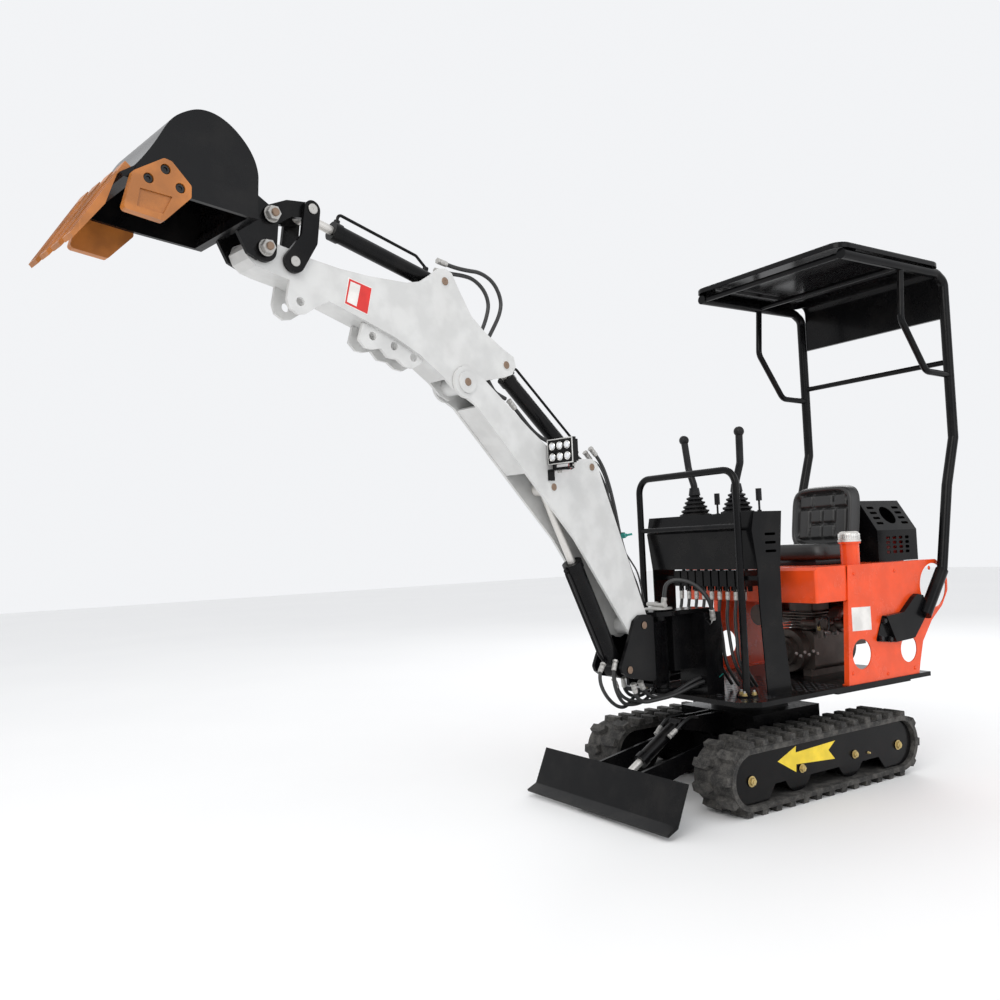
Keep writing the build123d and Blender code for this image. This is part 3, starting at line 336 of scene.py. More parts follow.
WHITE_NODES = ("boom", "arm")
ORANGE_NODES = ("panel_left", "panel_right", "tank", "tank_filler", "seat_base")
ROD_NODES = ("blade_rod", "lift_rod", "crowd_rod", "curl_rod", "swing_rod", "tank_cap")
CAST_NODES = ("bucket_teeth", "side_cutters")
TRACK_NODES = ("track_left", "track_right")
SOFT_NODES = ("seat", "joysticks", "small_levers")


class EXCAVATOR_OT_finishes(bpy.types.Operator):
    """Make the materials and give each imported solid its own"""
    bl_idname = "excavator.finishes"
    bl_label = "Paint and materials"

    def execute(self, context):
        colours = context.scene.excavator_colours
        dust_group()
        wear_group()
        grain_group()
        made = {
            "white": gloss_paint("white_paint", tuple(colours.boom), 0.12, 0.3, 0.05, (0.45, 0.43, 0.40, 1)),
            "orange": gloss_paint("orange_paint", tuple(colours.body), 0.15, 0.25, 0.15, (0.45, 0.16, 0.1, 1)),
            "black": gloss_paint("black_paint", tuple(colours.frame), 0.035, 0.22, 0.1, (0.03, 0.03, 0.03, 1), 0.12),
            "cast": cast_finish("ochre_cast", tuple(colours.cast), 0.42),
            "chrome": bright_metal("chrome_rod", (0.72, 0.70, 0.67), 0.08),
            "steel": bright_metal("bright_metal", (0.55, 0.54, 0.52), 0.3),
            "pin": bright_metal("pin_ends", (0.33, 0.24, 0.18), 0.34),
            "zinc": bright_metal("zinc_yellow", (0.62, 0.50, 0.24), 0.3),
            "engine": cast_finish("engine_metal", (0.10, 0.085, 0.075), 0.5, 0.6),
            "track": track_rubber(),
            "vinyl": soft_black("seat_vinyl", (0.008, 0.008, 0.009), 0.36, 520.0),
            "rubber": soft_black("black_rubber"),
            "arrow": plain_finish("arrow_film", tuple(colours.arrow), 0.45),
            "teal": plain_finish("teal_ties", (0.02, 0.26, 0.22), 0.4),
            "plate": plain_finish("blank_plate", (0.75, 0.73, 0.70), 0.4),
            "red_film": plain_finish("red_film", (0.62, 0.02, 0.015), 0.4),
            "oxide": plain_finish("black_oxide", (0.02, 0.02, 0.021), 0.38, 0.6),
            "cowl": gloss_paint("cowl_red", (0.22, 0.008, 0.006), 0.2, 0.3, 0.2),
            "cast_bright": cast_finish("cast_bright", (0.35, 0.34, 0.33), 0.4, 0.8),
            "lens": plain_finish("lamp_lens", (0.75, 0.77, 0.8), 0.12),
        }
        for name, solid in FRAME["nodes"].items():
            kind = "black"
            for key, names in (("white", WHITE_NODES), ("orange", ORANGE_NODES), ("chrome", ROD_NODES),
                               ("cast", CAST_NODES), ("track", TRACK_NODES), ("vinyl", SOFT_NODES),
                               ("engine", ("engine",))):
                if name in names:
                    kind = key
            solid.data.materials.clear()
            solid.data.materials.append(made[kind])
        return {"FINISHED"}


class EXCAVATOR_OT_stage(bpy.types.Operator):
    """Pale floor, soft studio light and the camera"""
    bl_idname = "excavator.stage"
    bl_label = "Stage"

    def execute(self, context):
        sizes = context.scene.excavator_stage
        self.add_floor(context, sizes.floor)
        self.add_light(context)
        self.add_camera(context, sizes.lens)
        return {"FINISHED"}

    def add_floor(self, context, width):
        shape = bmesh.new()
        bmesh.ops.create_grid(shape, x_segments=1, y_segments=1, size=width / 2)
        mesh = bpy.data.meshes.new("studio_floor")
        shape.to_mesh(mesh)
        shape.free()
        floor = bpy.data.objects.new("studio_floor", mesh)
        context.scene.collection.objects.link(floor)
        material, tree, shader = finish_of("studio_floor")
        cloud = node(tree, "TexNoise", {"Vector": place_of(tree), "Scale": 0.8, "Detail": 4.0}).outputs["Fac"]
        tree.links.new(mix(tree, cloud, (0.86, 0.86, 0.86, 1), (0.90, 0.90, 0.895, 1)),
                       shader.inputs["Base Color"])
        shader.inputs["Roughness"].default_value = 0.75
        mesh.materials.append(material)

    def add_light(self, context):
        world = bpy.data.worlds.new("studio")
        world.use_nodes = True
        world.node_tree.nodes["Background"].inputs["Color"].default_value = (0.97, 0.98, 1.0, 1)
        world.node_tree.nodes["Background"].inputs["Strength"].default_value = 0.92
        context.scene.world = world
        context.scene.view_settings.view_transform = "Standard"
        lamps = (("key", (4.5, 3.0, 5.0), 4.0, 160, (1.0, 0.98, 0.95)),
                 ("fill", (-1.0, 6.0, 3.0), 4.0, 60, (0.93, 0.96, 1.0)),
                 ("rim", (-5.0, -3.0, 4.5), 3.0, 90, (1.0, 1.0, 1.0)))
        for name, place, size, power, colour in lamps:
            lamp = bpy.data.lights.new(name, "AREA")
            lamp.size = size
            lamp.energy = power
            lamp.color = colour
            held = bpy.data.objects.new(name, lamp)
            held.location = place
            held.rotation_euler = (Vector((0, 0, 0.9)) - Vector(place)).to_track_quat("-Z", "Y").to_euler()
            context.scene.collection.objects.link(held)

    def add_camera(self, context, lens):
        view = bpy.data.cameras.new("camera")
        view.lens = lens
        view.sensor_width = 36
        view.clip_end = 100
        held = bpy.data.objects.new("camera", view)
        yaw, pitch, roll = (math.radians(a) for a in (236.51, 2.89, 2.43))
        ahead = Vector((math.cos(yaw) * math.cos(pitch), math.sin(yaw) * math.cos(pitch), math.sin(pitch)))
        right = Vector((math.sin(yaw), -math.cos(yaw), 0))
        down = ahead.cross(right)
        turned = math.cos(roll) * right + math.sin(roll) * down
        dropped = math.cos(roll) * down - math.sin(roll) * right
        turn = Matrix((turned, -dropped, -ahead)).transposed().to_4x4()
        held.matrix_world = Matrix.Translation(spot(2912.87, 2647.82, 961.02)) @ turn
        context.scene.collection.objects.link(held)
        context.scene.camera = held


# Shapes that many pieces share


def facing(at, axis, around=None):
    """Placement whose z axis points along axis, with its x axis near around."""
    turn = axis.to_track_quat("Z", "Y").to_matrix().to_4x4()
    if around is not None:
        side = (around - around.dot(axis) * axis).normalized()
        turn = Matrix((side, axis.cross(side), axis)).transposed().to_4x4()
    return Matrix.Translation(at) @ turn


def turned(shape, place, profile, steps=28):
    """Turn a line of (radius, height) points in millimetres about the z axis of place."""
    before = set(shape.verts)
    line = [shape.verts.new((radius / 1000, 0, height / 1000)) for radius, height in profile]
    edges = [shape.edges.new(ends) for ends in zip(line, line[1:])]
    bmesh.ops.spin(shape, geom=line + edges, cent=(0, 0, 0), axis=(0, 0, 1), angle=math.tau, steps=steps,
                   use_merge=True)
    made = [v for v in shape.verts if v not in before]
    bmesh.ops.transform(shape, matrix=place, verts=made)
    bmesh.ops.remove_doubles(shape, verts=made, dist=0.00001)


def knob(shape, place, radius, low, high, round_by=1.0, steps=28):
    """Closed disc or rod with a small chamfer at its upper rim."""
    turned(shape, place, ((0, low), (radius, low), (radius, high - round_by), (radius - round_by, high),
                          (0, high)), steps)


def hexagon(shape, place, across, low, high, chamfer=1.0):
    """Six-sided nut or bolt head with chamfered rims."""
    middle = Matrix.Translation((0, 0, (low + high) / 2000))
    made = bmesh.ops.create_cone(shape, cap_ends=True, segments=6, radius1=across / 1732, radius2=across / 1732,
                                 depth=(high - low) / 1000, matrix=place @ middle)
    rims = {e for v in made["verts"] for e in v.link_edges if any(len(f.verts) == 6 for f in e.link_faces)}
    bmesh.ops.bevel(shape, geom=list(rims), offset=chamfer / 1000, segments=1, affect="EDGES", profile=0.5,
                    material=-1)


def slab(shape, place, size, bevel=1.0, segments=2):
    """Box of a size in millimetres, with rounded edges, centred on place."""
    scale = Matrix.Diagonal((*(s / 1000 for s in size), 1))
    made = bmesh.ops.create_cube(shape, size=1, matrix=place @ scale)
    edges = {e for v in made["verts"] for e in v.link_edges}
    if bevel:
        bmesh.ops.bevel(shape, geom=list(edges), offset=bevel / 1000, segments=segments, affect="EDGES",
                        profile=0.5, material=-1)
    return made["verts"]


def film(shape, corners, thickness):
    """Thin plate from its corners, given thickness along the side that it faces."""
    face = shape.faces.new([shape.verts.new(c) for c in corners])
    face.normal_update()
    away = face.normal * thickness / 1000
    raised = bmesh.ops.extrude_face_region(shape, geom=[face], use_keep_orig=True)
    lifted = [v for v in raised["geom"] if isinstance(v, bmesh.types.BMVert)]
    bmesh.ops.translate(shape, verts=lifted, vec=away)


def add_piece(context, name, shape, finish, body, sharp=35):
    """Object from a shape, which takes a finish and rides with a body."""
    bmesh.ops.recalc_face_normals(shape, faces=shape.faces[:])
    mesh = bpy.data.meshes.new(name)
    shape.to_mesh(mesh)
    shape.free()
    mesh.shade_smooth()
    mesh.set_sharp_from_angle(angle=math.radians(sharp))
    mesh.materials.append(bpy.data.materials[finish])
    piece = bpy.data.objects.new(name, mesh)
    context.scene.collection.objects.link(piece)
    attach(piece, body)
    return piece


def add_hose(context, name, points, width, body, joins=None, finish="black_rubber", ends=None):
    """Smooth hose through control points that rides with body; if joins names a second body, it rides with neither.
    """
    line = bpy.data.curves.new(name, "CURVE")
    line.dimensions = "3D"
    spline = line.splines.new("NURBS")
    spline.points.add(len(points) - 1)
    for control, at in zip(spline.points, points):
        control.co = (*at, 1)
    spline.order_u = 3
    spline.use_endpoint_u = True
    spline.resolution_u = 8
    route = bpy.data.objects.new(name + "_route", line)
    context.scene.collection.objects.link(route)
    context.view_layer.update()
    bare = bpy.data.meshes.new_from_object(route)
    path = [v.co.copy() for v in bare.vertices]
    bpy.data.meshes.remove(bare)
    line.bevel_depth = width / 2000
    line.bevel_resolution = 3
    line.use_fill_caps = True
    context.view_layer.update()
    mesh = bpy.data.meshes.new_from_object(route)
    bpy.data.objects.remove(route)
    bpy.data.curves.remove(line)
    mesh.name = name
    mesh.materials.clear()
    mesh.materials.append(bpy.data.materials[finish])
    mesh.shade_smooth()
    piece = bpy.data.objects.new(name, mesh)
    context.scene.collection.objects.link(piece)
    if joins:
        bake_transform(piece)
    else:
        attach(piece, body)
    return path


def ferrules(shape, path, width, which=(0, -1), length=30):
    """Crimped sleeves with a hexagon at chosen ends of a hose."""
    for end in which:
        start, after = (path[0], path[3]) if end == 0 else (path[-1], path[-4])
        place = facing(start, (after - start).normalized())
        half = width / 2
        turned(shape, place, ((0, -8), (half - 1, -8), (half - 1, 0), (half + 1.2, 1), (half + 2.6, 4),
                              (half + 2.6, length * 0.45), (half + 1.8, length * 0.5), (half + 2.6, length * 0.55),
                              (half + 2.2, length - 2), (half + 0.2, length), (0, length)), 20)
        hexagon(shape, place, width + 5, -9, -1, 0.6)


# Pins, nuts and bolts


# Pins whose ends show: body, place in the plane of the boom, outer face, radius, finish
PIN_ENDS = (
    ("swing_bracket", (175, 660), 70, 13.5, "pin_ends"),
    ("swing_bracket", (267, 511), 70, 13.5, "pin_ends"),
    ("boom", (601, 1153), 56.5, 12.5, "pin_ends"),
    ("boom", (405, 1225), 56.5, 12.5, "pin_ends"),
    ("arm", (785.5, 1544), 45, 12.5, "pin_ends"),
    ("arm", (1031, 1776), 45, 12.5, "pin_ends"),
    ("rocker", (1560, 1738), 60, 14, "bright_metal"),
    ("rocker", (1501, 1892), 60, 14, "bright_metal"),
)
NUT_PINS = ((1648, 1756), (1630, 1848))
ELBOW = (966, 1471)
TRACK_FACE = 373
DECK_FACE = 376


class EXCAVATOR_OT_pins(bpy.types.Operator):
    """Pin ends, with nuts at the bucket's own pins"""
    bl_idname = "excavator.pins"
    bl_label = "Pins"

    def execute(self, context):
        groups = {}
        for body, at, face, radius, finish in PIN_ENDS:
            shape = groups.setdefault((body, finish), bmesh.new())
            for side in (1, -1):
                place = facing(boom_spot(at[0], side * face, at[1]), side * BOOM_LEFT)
                turned(shape, place, ((0, 0), (radius, 0), (radius, 0.8), (radius - 1.4, 2.2), (3, 2.2),
                                      (2, 1.2), (0, 1.0)))
        for (body, finish), shape in groups.items():
            add_piece(context, body + "_" + finish, shape, finish, body)
        self.add_elbow_pin(context)
        self.add_bucket_nuts(context)
        return {"FINISHED"}

    def add_elbow_pin(self, context):
        """Pin through the boom's fork and the arm."""
        shape = bmesh.new()
        place = facing(boom_spot(ELBOW[0], 0, ELBOW[1]), BOOM_LEFT)
        turned(shape, place, ((0, -62), (10.8, -62), (12.2, -60.6), (12.2, 60.6), (10.8, 62), (2.5, 62), (2, 61),
                              (0, 61)), 36)
        add_piece(context, "elbow_pin", shape, "pin_ends", "boom")

    def add_bucket_nuts(self, context):
        nuts = bmesh.new()
        threads = bmesh.new()
        for s, z in NUT_PINS:
            for side in (1, -1):
                place = facing(boom_spot(s, side * 64, z), side * BOOM_LEFT, UP)
                turned(nuts, place, ((0, 0), (22, 0), (22, 2.4), (21, 3.2), (0, 3.2)))
                hexagon(nuts, place, 34, 3, 19, 1.6)
                turned(threads, place, ((0, 18), (10.5, 18), (10.5, 24), (9, 25.5), (0, 25.5)), 24)
        add_piece(context, "bucket_pin_nuts", nuts, "bright_metal", "bucket")
        add_piece(context, "bucket_pin_threads", threads, "pin_ends", "bucket")


class EXCAVATOR_OT_fasteners(bpy.types.Operator):
    """Nuts on the track frames, the hoop's feet and the canopy's brackets, and the cutters' bolts"""
    bl_idname = "excavator.fasteners"
    bl_label = "Fasteners"

    def execute(self, context):
        self.add_track_nuts(context)
        self.add_hoop_nuts(context)
        self.add_bracket_bolts(context)
        self.add_cutter_bolts(context)
        self.add_panel_screws(context)
        return {"FINISHED"}

    def add_track_nuts(self, context):
        """Hub nuts and roller nuts outside each track frame, with a grease nipple."""
        shape = bmesh.new()
        for side in (1, -1):
            out = side * LEFT
            for x, z, across in ((418, 120, 24), (154, 122, 20), (-148, 125, 20), (-418, 120, 24)):
                place = facing(spot(x, side * TRACK_FACE, z), out, UP)
                turned(shape, place, ((0, 0), (across * 0.78, 0), (across * 0.78, 1.6), (0, 1.6)))
                hexagon(shape, place, across, 1.5, 11, 1.0)
                turned(shape, place, ((0, 10), (across * 0.26, 10), (across * 0.26, 14), (0, 14.6)), 18)
            nipple = facing(spot(-233, side * 368, 118), out)
            turned(shape, nipple, ((0, 0), (5, 0), (5, 4), (3, 5), (3, 9), (4, 10), (3, 12), (0, 12)), 16)
        add_piece(context, "track_nuts", shape, "zinc_yellow", "undercarriage")

    def add_hoop_nuts(self, context):
        nuts = bmesh.new()
        studs = bmesh.new()
        for y in (230, -300):
            for turn in (25, 145, 265):
                x = 262 + 27 * math.cos(math.radians(turn))
                at = y + 27 * math.sin(math.radians(turn))
                place = facing(spot(x, at, 382), UP)
                turned(nuts, place, ((0, 0), (10.5, 0), (10.5, 1.6), (0, 1.6)), 24)
                hexagon(nuts, place, 15, 1.4, 9, 0.9)
                turned(studs, place, ((0, 8), (4.6, 8), (4.6, 15), (3.8, 16), (0, 16)), 16)
        add_piece(context, "hoop_foot_nuts", nuts, "zinc_yellow", "upper_works")
        add_piece(context, "hoop_foot_studs", studs, "bright_metal", "upper_works")

    def add_bracket_bolts(self, context):
        shape = bmesh.new()
        for side in (1, -1):
            for x, z in ((-398, 607), (-372, 540), (-430, 531)):
                place = facing(spot(x, side * 361, z), side * LEFT, UP)
                turned(shape, place, ((0, 0), (11.5, 0), (11.5, 1.6), (0, 1.6)), 24)
                hexagon(shape, place, 17, 1.5, 9, 1.2)
        add_piece(context, "bracket_bolts", shape, "black_oxide", "upper_works")

    def add_cutter_bolts(self, context):
        """Socket bolts sunk in the side cutters."""
        shape = bmesh.new()
        for side in (1, -1):
            for s, z in ((354, 61), (314, 91), (280, 55)):
                place = facing(boom_spot(1648 + s, side * 168, 1756 + z), side * BOOM_LEFT, UP)
                turned(shape, place, ((0, -1), (10.6, -1), (10.6, 5), (9.6, 6), (5.6, 6), (5.0, 2.5), (0, 2)), 24)
        add_piece(context, "cutter_bolts", shape, "black_oxide", "bucket")

    def add_panel_screws(self, context):
        """Button screws along the side panels."""
        shape = bmesh.new()
        for side in (1, -1):
            for x, z in ((-240, 800), (-500, 800), (-740, 800), (-200, 420), (-420, 395), (-600, 400)):
                place = facing(spot(x, side * 350, z), side * LEFT)
                turned(shape, place, ((0, 0), (8.5, 0), (8.5, 0.9), (6, 0.9), (5.4, 2.6), (3.6, 3.8), (0, 4.2)), 18)
        add_piece(context, "panel_screws", shape, "orange_paint", "upper_works")


# Marks and plates, all left blank


class EXCAVATOR_OT_marks(bpy.types.Operator):
    """Arrows on the track frames, and the blank plates of the arm and the panel"""
    bl_idname = "excavator.marks"
    bl_label = "Arrows and plates"

    def execute(self, context):
        self.add_arrows(context)
        self.add_plates(context)
        return {"FINISHED"}

    def add_arrows(self, context):
        """Each arrow points the way the tracks drive ahead."""
        shape = bmesh.new()
        for side in (1, -1):
            outline = ((279, 165), (178, 205), (182, 182), (-41, 192), (0, 163), (-35, 126), (181, 140), (184, 113))
            corners = [spot(x, side * 370, z) for x, z in outline]
            film(shape, corners[::-1] if side > 0 else corners, 0.35)
        add_piece(context, "track_arrows", shape, "arrow_film", "undercarriage")

    def add_plates(self, context):
        arm = bmesh.new()
        red = bmesh.new()
        label = bmesh.new()
        white = bmesh.new()
        film(arm, [boom_spot(s, 43, z) for s, z in ((1383, 1729), (1400, 1652), (1322, 1631), (1303, 1712))], 0.5)
        film(red, [boom_spot(s, 43.5, z) for s, z in ((1380, 1726), (1397, 1654), (1323, 1634), (1305, 1710))], 0.3)
        film(white, [boom_spot(s, 43.8, z) for s, z in ((1376, 1719), (1391, 1659), (1359, 1650), (1343, 1712))], 0.3)
        film(label, [spot(x, 350, z) for x, z in ((-212, 671), (-212, 580), (-330, 577), (-330, 668))], 0.5)
        add_piece(context, "arm_plate", arm, "blank_plate", "arm")
        add_piece(context, "arm_plate_colour", red, "red_film", "arm")
        add_piece(context, "arm_plate_field", white, "blank_plate", "arm")
        add_piece(context, "panel_label", label, "blank_plate", "upper_works")


# Hydraulic hoses, each from its fitting to where it goes back into the machine


HOSE = 13
THIN_HOSE = 11

# Hoses of the boom and the arm: name, body, body that it ends on, width, points in the plane of the boom
BOOM_HOSES = (
    ("curl_hose_1", "curl_barrel", "arm", HOSE, ((1024, 14, 1846), (974, 14, 1838), (910, 12, 1838),
                                                 (850, 10, 1843), (792, 10, 1820), (762, 10, 1768),
                                                 (770, 10, 1722), (803, 10, 1668), (850, 10, 1600))),
    ("curl_hose_2", "curl_barrel", "arm", HOSE, ((1018, -6, 1822), (974, -5, 1822), (918, 0, 1824),
                                                 (868, -5, 1822), (824, -6, 1796), (804, -6, 1756),
                                                 (812, -6, 1716), (838, -6, 1660), (872, -6, 1606))),
    ("arm_hose", "arm", "boom", HOSE, ((862, 18, 1520), (838, 18, 1484), (818, 18, 1458), (794, 18, 1448),
                                       (770, 18, 1440))),
    ("boom_top_hose", "boom", None, HOSE, ((750, 18, 1430), (708, 18, 1392), (657, 18, 1346), (612, 18, 1320),
                                           (560, 18, 1304), (500, 16, 1290))),
    ("boom_back_hose_1", "boom", "swing_bracket", HOSE, ((352, 12, 1292), (318, 12, 1266), (276, 12, 1202),
                                                         (240, 12, 1091), (215, 12, 971), (170, 12, 861),
                                                         (128, 12, 792), (104, 4, 736))),
    ("boom_back_hose_2", "boom", "swing_bracket", HOSE, ((352, -14, 1280), (318, -12, 1250), (270, -8, 1180),
                                                         (236, -4, 1080), (214, -4, 960), (166, -8, 850),
                                                         (120, -10, 784), (100, -10, 736))),
    ("lamp_cable", "boom", "swing_bracket", 6, ((512, 56, 1216), (440, 40, 1240), (350, 30, 1256),
                                                (300, 30, 1186), (294, 34, 1108), (272, 34, 1028),
                                                (226, 24, 944), (192, 36, 892), (160, 40, 850),
                                                (138, 34, 796), (112, 26, 740))),
    ("lift_hose_1", "lift_barrel", "swing_bracket", HOSE, ((342, 8, 532), (362, 12, 516), (370, 16, 476),
                                                           (345, 18, 428), (290, 14, 384), (230, 8, 368),
                                                           (164, -14, 388), (108, -14, 412), (66, -12, 436))),
    ("lift_hose_2", "lift_barrel", "swing_bracket", HOSE, ((306, 36, 540), (322, 40, 516), (316, 34, 470),
                                                           (292, 28, 424), (252, 22, 384), (186, 14, 374),
                                                           (118, 4, 374), (62, -2, 396), (20, -8, 420))),
)

# Hoses that loop under the foot of the boom and go up over the deck
FOOT_HOSES = (
    ("foot_hose_1", "swing_bracket", "upper_works", 15, ((635, 72, 452), (612, 60, 418), (566, 58, 388),
                                                         (500, 62, 388), (449, 62, 400), (387, 64, 424),
                                                         (326, 66, 440), (278, 66, 432), (236, 62, 424))),
    ("foot_hose_2", "swing_bracket", "upper_works", 15, ((673, 77, 448), (660, 70, 404), (622, 66, 380),
                                                         (560, 72, 384), (485, 78, 390), (425, 80, 404),
                                                         (364, 82, 420), (302, 82, 428), (236, 78, 412))),
    ("foot_hose_3", "swing_bracket", "upper_works", HOSE, ((699, 2, 462), (694, 14, 420), (664, 30, 388),
                                                           (600, 46, 376), (528, 50, 384), (450, 46, 396),
                                                           (380, 46, 404), (300, 48, 400), (238, 44, 396))),
    ("foot_hose_4", "swing_bracket", "upper_works", HOSE, ((647, -9, 458), (640, -18, 424), (600, -30, 392),
                                                           (540, -46, 380), (470, -70, 390), (380, -88, 400),
                                                           (300, -96, 404), (236, -100, 402))),
)

# Where each hose leaves the control valve: y, and how it runs down to the deck
VALVE_HOSES = (
    (-184, (150, -184, 752), (-190, 640, 420)), (-142, (150, -142, 752), (-150, 640, 418)),
    (-100, (150, -100, 752), (-104, 640, 416)), (-58, (150, -58, 752), (-40, 640, 412)),
    (-16, (150, -16, 752), (36, 640, 410)), (26, (150, 26, 752), (78, 630, 408)),
    (68, (150, 68, 752), (110, 620, 410)), (110, (150, 110, 752), (140, 620, 412)),
    (152, (150, 152, 752), (168, 620, 414)),
)
PORT_X = 160
PORT_LOW = 752


class EXCAVATOR_OT_hoses(bpy.types.Operator):
    """Hydraulic hoses with their crimped fittings, and the cable of the lamp"""
    bl_idname = "excavator.hoses"
    bl_label = "Hoses"

    def execute(self, context):
        fittings = {}
        for name, body, far, width, points in BOOM_HOSES:
            path = add_hose(context, name, [boom_spot(*at) for at in points], width, body, far)
            if width > 6:
                shape = fittings.setdefault(body, bmesh.new())
                ferrules(shape, path, width, (0,))
        shape = fittings.setdefault("swing_bracket", bmesh.new())
        for name, body, far, width, points in FOOT_HOSES:
            path = add_hose(context, name, [spot(*at) for at in points], width, body, far)
            ferrules(shape, path, width, (0,))
        self.add_valve_hoses(context, fittings.setdefault("upper_works", bmesh.new()))
        self.add_blade_hoses(context, fittings.setdefault("blade_barrel", bmesh.new()))
        for body, shape in fittings.items():
            add_piece(context, "hose_fittings_" + body, shape, "bright_metal", body)
        return {"FINISHED"}

    def add_valve_hoses(self, context, fittings):
        """One hose from each section of the control valve, and a large one that arches over to the swivel."""
        for number, (y, start, (low_y, high, low)) in enumerate(VALVE_HOSES):
            reach = 205 + 6 * (number % 3)
            points = [spot(PORT_X, y, PORT_LOW), spot(PORT_X + 1, y, PORT_LOW - 40), spot(PORT_X + 14, y, high + 30),
                      spot(PORT_X + 24, (y + low_y) / 2, high - 60), spot(reach - 10, low_y, low + 90),
                      spot(reach - 30, low_y + 8, low + 30), spot(reach - 70, low_y + 10, low - 20)]
            path = add_hose(context, f"valve_hose_{number + 1}", points, HOSE, "upper_works")
            ferrules(fittings, path, HOSE, (0,), 34)
        arch = [spot(460, 24, 712), spot(458, 30, 768), spot(450, 34, 800), spot(425, 64, 814),
                spot(385, 111, 798), spot(345, 136, 748), spot(312, 127, 702), spot(298, 115, 664)]
        path = add_hose(context, "swivel_hose", arch, 16, "upper_works")
        ferrules(fittings, path, 16, (0, -1), 36)
        elbow = [spot(298, 115, 664), spot(297, 108, 640), spot(292, 84, 630), spot(286, 56, 628)]
        add_hose(context, "swivel_elbow", elbow, 9, "upper_works", None, "chrome_rod")

    def add_blade_hoses(self, context, fittings):
        for side in (1, -1):
            points = [spot(470, side * 36, 236), spot(440, side * 44, 258), spot(404, side * 44, 282),
                      spot(360, side * 36, 292), spot(322, side * 30, 282)]
            path = add_hose(context, "blade_hose_left" if side > 0 else "blade_hose_right", points, HOSE,
                            "blade_barrel", "undercarriage")
            ferrules(fittings, path, HOSE, (0,), 34)


class EXCAVATOR_OT_ties(bpy.types.Operator):
    """Cable ties round the hoses"""
    bl_idname = "excavator.ties"
    bl_label = "Cable ties"

    def execute(self, context):
        self.add_tie(context, "tie_boom", boom_spot(206, 8, 985), Vector((0.25, 0, 1)).normalized(), (42, 26), "boom")
        self.add_tie(context, "tie_deck", spot(262, 74, 432), AHEAD, (40, 34), "upper_works")
        return {"FINISHED"}

    def add_tie(self, context, name, at, along, size, body):
        """Band round a pair of hoses with its head and its loose tail."""
        shape = bmesh.new()
        place = facing(at, along, LEFT)
        turned(shape, place, ((size[0] / 2 - 1.5, -9), (size[0] / 2, -9), (size[0] / 2, 9),
                              (size[0] / 2 - 1.5, 9), (size[0] / 2 - 1.5, -9)), 32)
        squeeze = Matrix.Diagonal((1, size[1] / size[0], 1, 1))
        bmesh.ops.transform(shape, matrix=place @ squeeze @ place.inverted(), verts=shape.verts)
        slab(shape, place @ Matrix.Translation((size[0] / 2000 + 0.002, 0, 0)), (7, 13, 12), 1)
        tail = place @ Matrix.Translation((size[0] / 2000 + 0.012, 0.008, 0)) @ Matrix.Rotation(0.7, 4, "Z")
        slab(shape, tail, (26, 1.6, 8), 0.4)
        add_piece(context, name, shape, "teal_ties", body)


# Lamp, seat and small parts


LAMP = (612, 116, 1266)


class EXCAVATOR_OT_lamp(bpy.types.Operator):
    """Lenses and trim of the work lamp"""
    bl_idname = "excavator.lamp"
    bl_label = "Work lamp"

    def execute(self, context):
        lenses = bmesh.new()
        cups = bmesh.new()
        bolts = bmesh.new()
        s, w, z = LAMP
        for row in (-1, 1):
            for column in (-1, 0, 1):
                place = facing(boom_spot(s + 17, w + 33 * column, z + 18 * row), BOOM_AHEAD)
                turned(cups, place, ((9, 0.2), (13.4, 0.2), (13.4, 2.0), (12.4, 2.8), (9, 1.2), (9, 0.2)), 28)
                turned(lenses, place, ((0, 0.4), (9, 0.4), (8, 2.6), (5, 4.2), (2, 4.8), (0, 4.9)), 24)
        frame = boom_spot(s + 16.4, w, z)
        for across, along, size in ((0, 40, (112, 4)), (0, -40, (112, 4)), (54, 0, (4, 76)), (-54, 0, (4, 76))):
            place = facing(frame + BOOM_LEFT * across / 1000 + UP * along / 1000, BOOM_AHEAD, BOOM_LEFT)
            slab(cups, place, (size[0], size[1], 3), 0.8)
        for across in (-44, 44):
            place = facing(boom_spot(s + 4, w + across, z - 48), BOOM_LEFT * (1 if across > 0 else -1), UP)
            hexagon(bolts, place, 9, 0, 6, 0.6)
        place = facing(boom_spot(s, w - 20, z - 56), -UP)
        turned(bolts, place, ((0, 5), (9, 5), (9, 6.6), (0, 6.6)), 20)
        hexagon(bolts, place, 13, 6.5, 14, 0.8)
        add_piece(context, "lamp_lenses", lenses, "lamp_lens", "boom")
        add_piece(context, "lamp_cups", cups, "chrome_rod", "boom")
        add_piece(context, "lamp_bolts", bolts, "bright_metal", "boom")
        for name, finish, shift in (("lamp_wire_red", "red_film", 0), ("lamp_wire_black", "black_rubber", 7)):
            points = [boom_spot(s - 14, w - 10 + shift, z - 20), boom_spot(s - 34, w - 10 + shift, z - 26),
                      boom_spot(s - 52, w - 26, z - 46), boom_spot(s - 66, w - 46, z - 52 + shift),
                      boom_spot(s - 96, w - 58, z - 48)]
            add_hose(context, name, points, 4, "boom", None, finish)
        return {"FINISHED"}


SEAT_MIDDLE = 30
VINYL_ROUND = 5


def smooth_step(value, low, high):
    share = min(1, max(0, (value - low) / (high - low)))
    return share * share * (3 - 2 * share)


def pad_between(value, low, high, soft):
    """1 between two limits, falling smoothly to 0 outside them."""
    return smooth_step(value, low - soft, low + soft) * (1 - smooth_step(value, high - soft, high + soft))


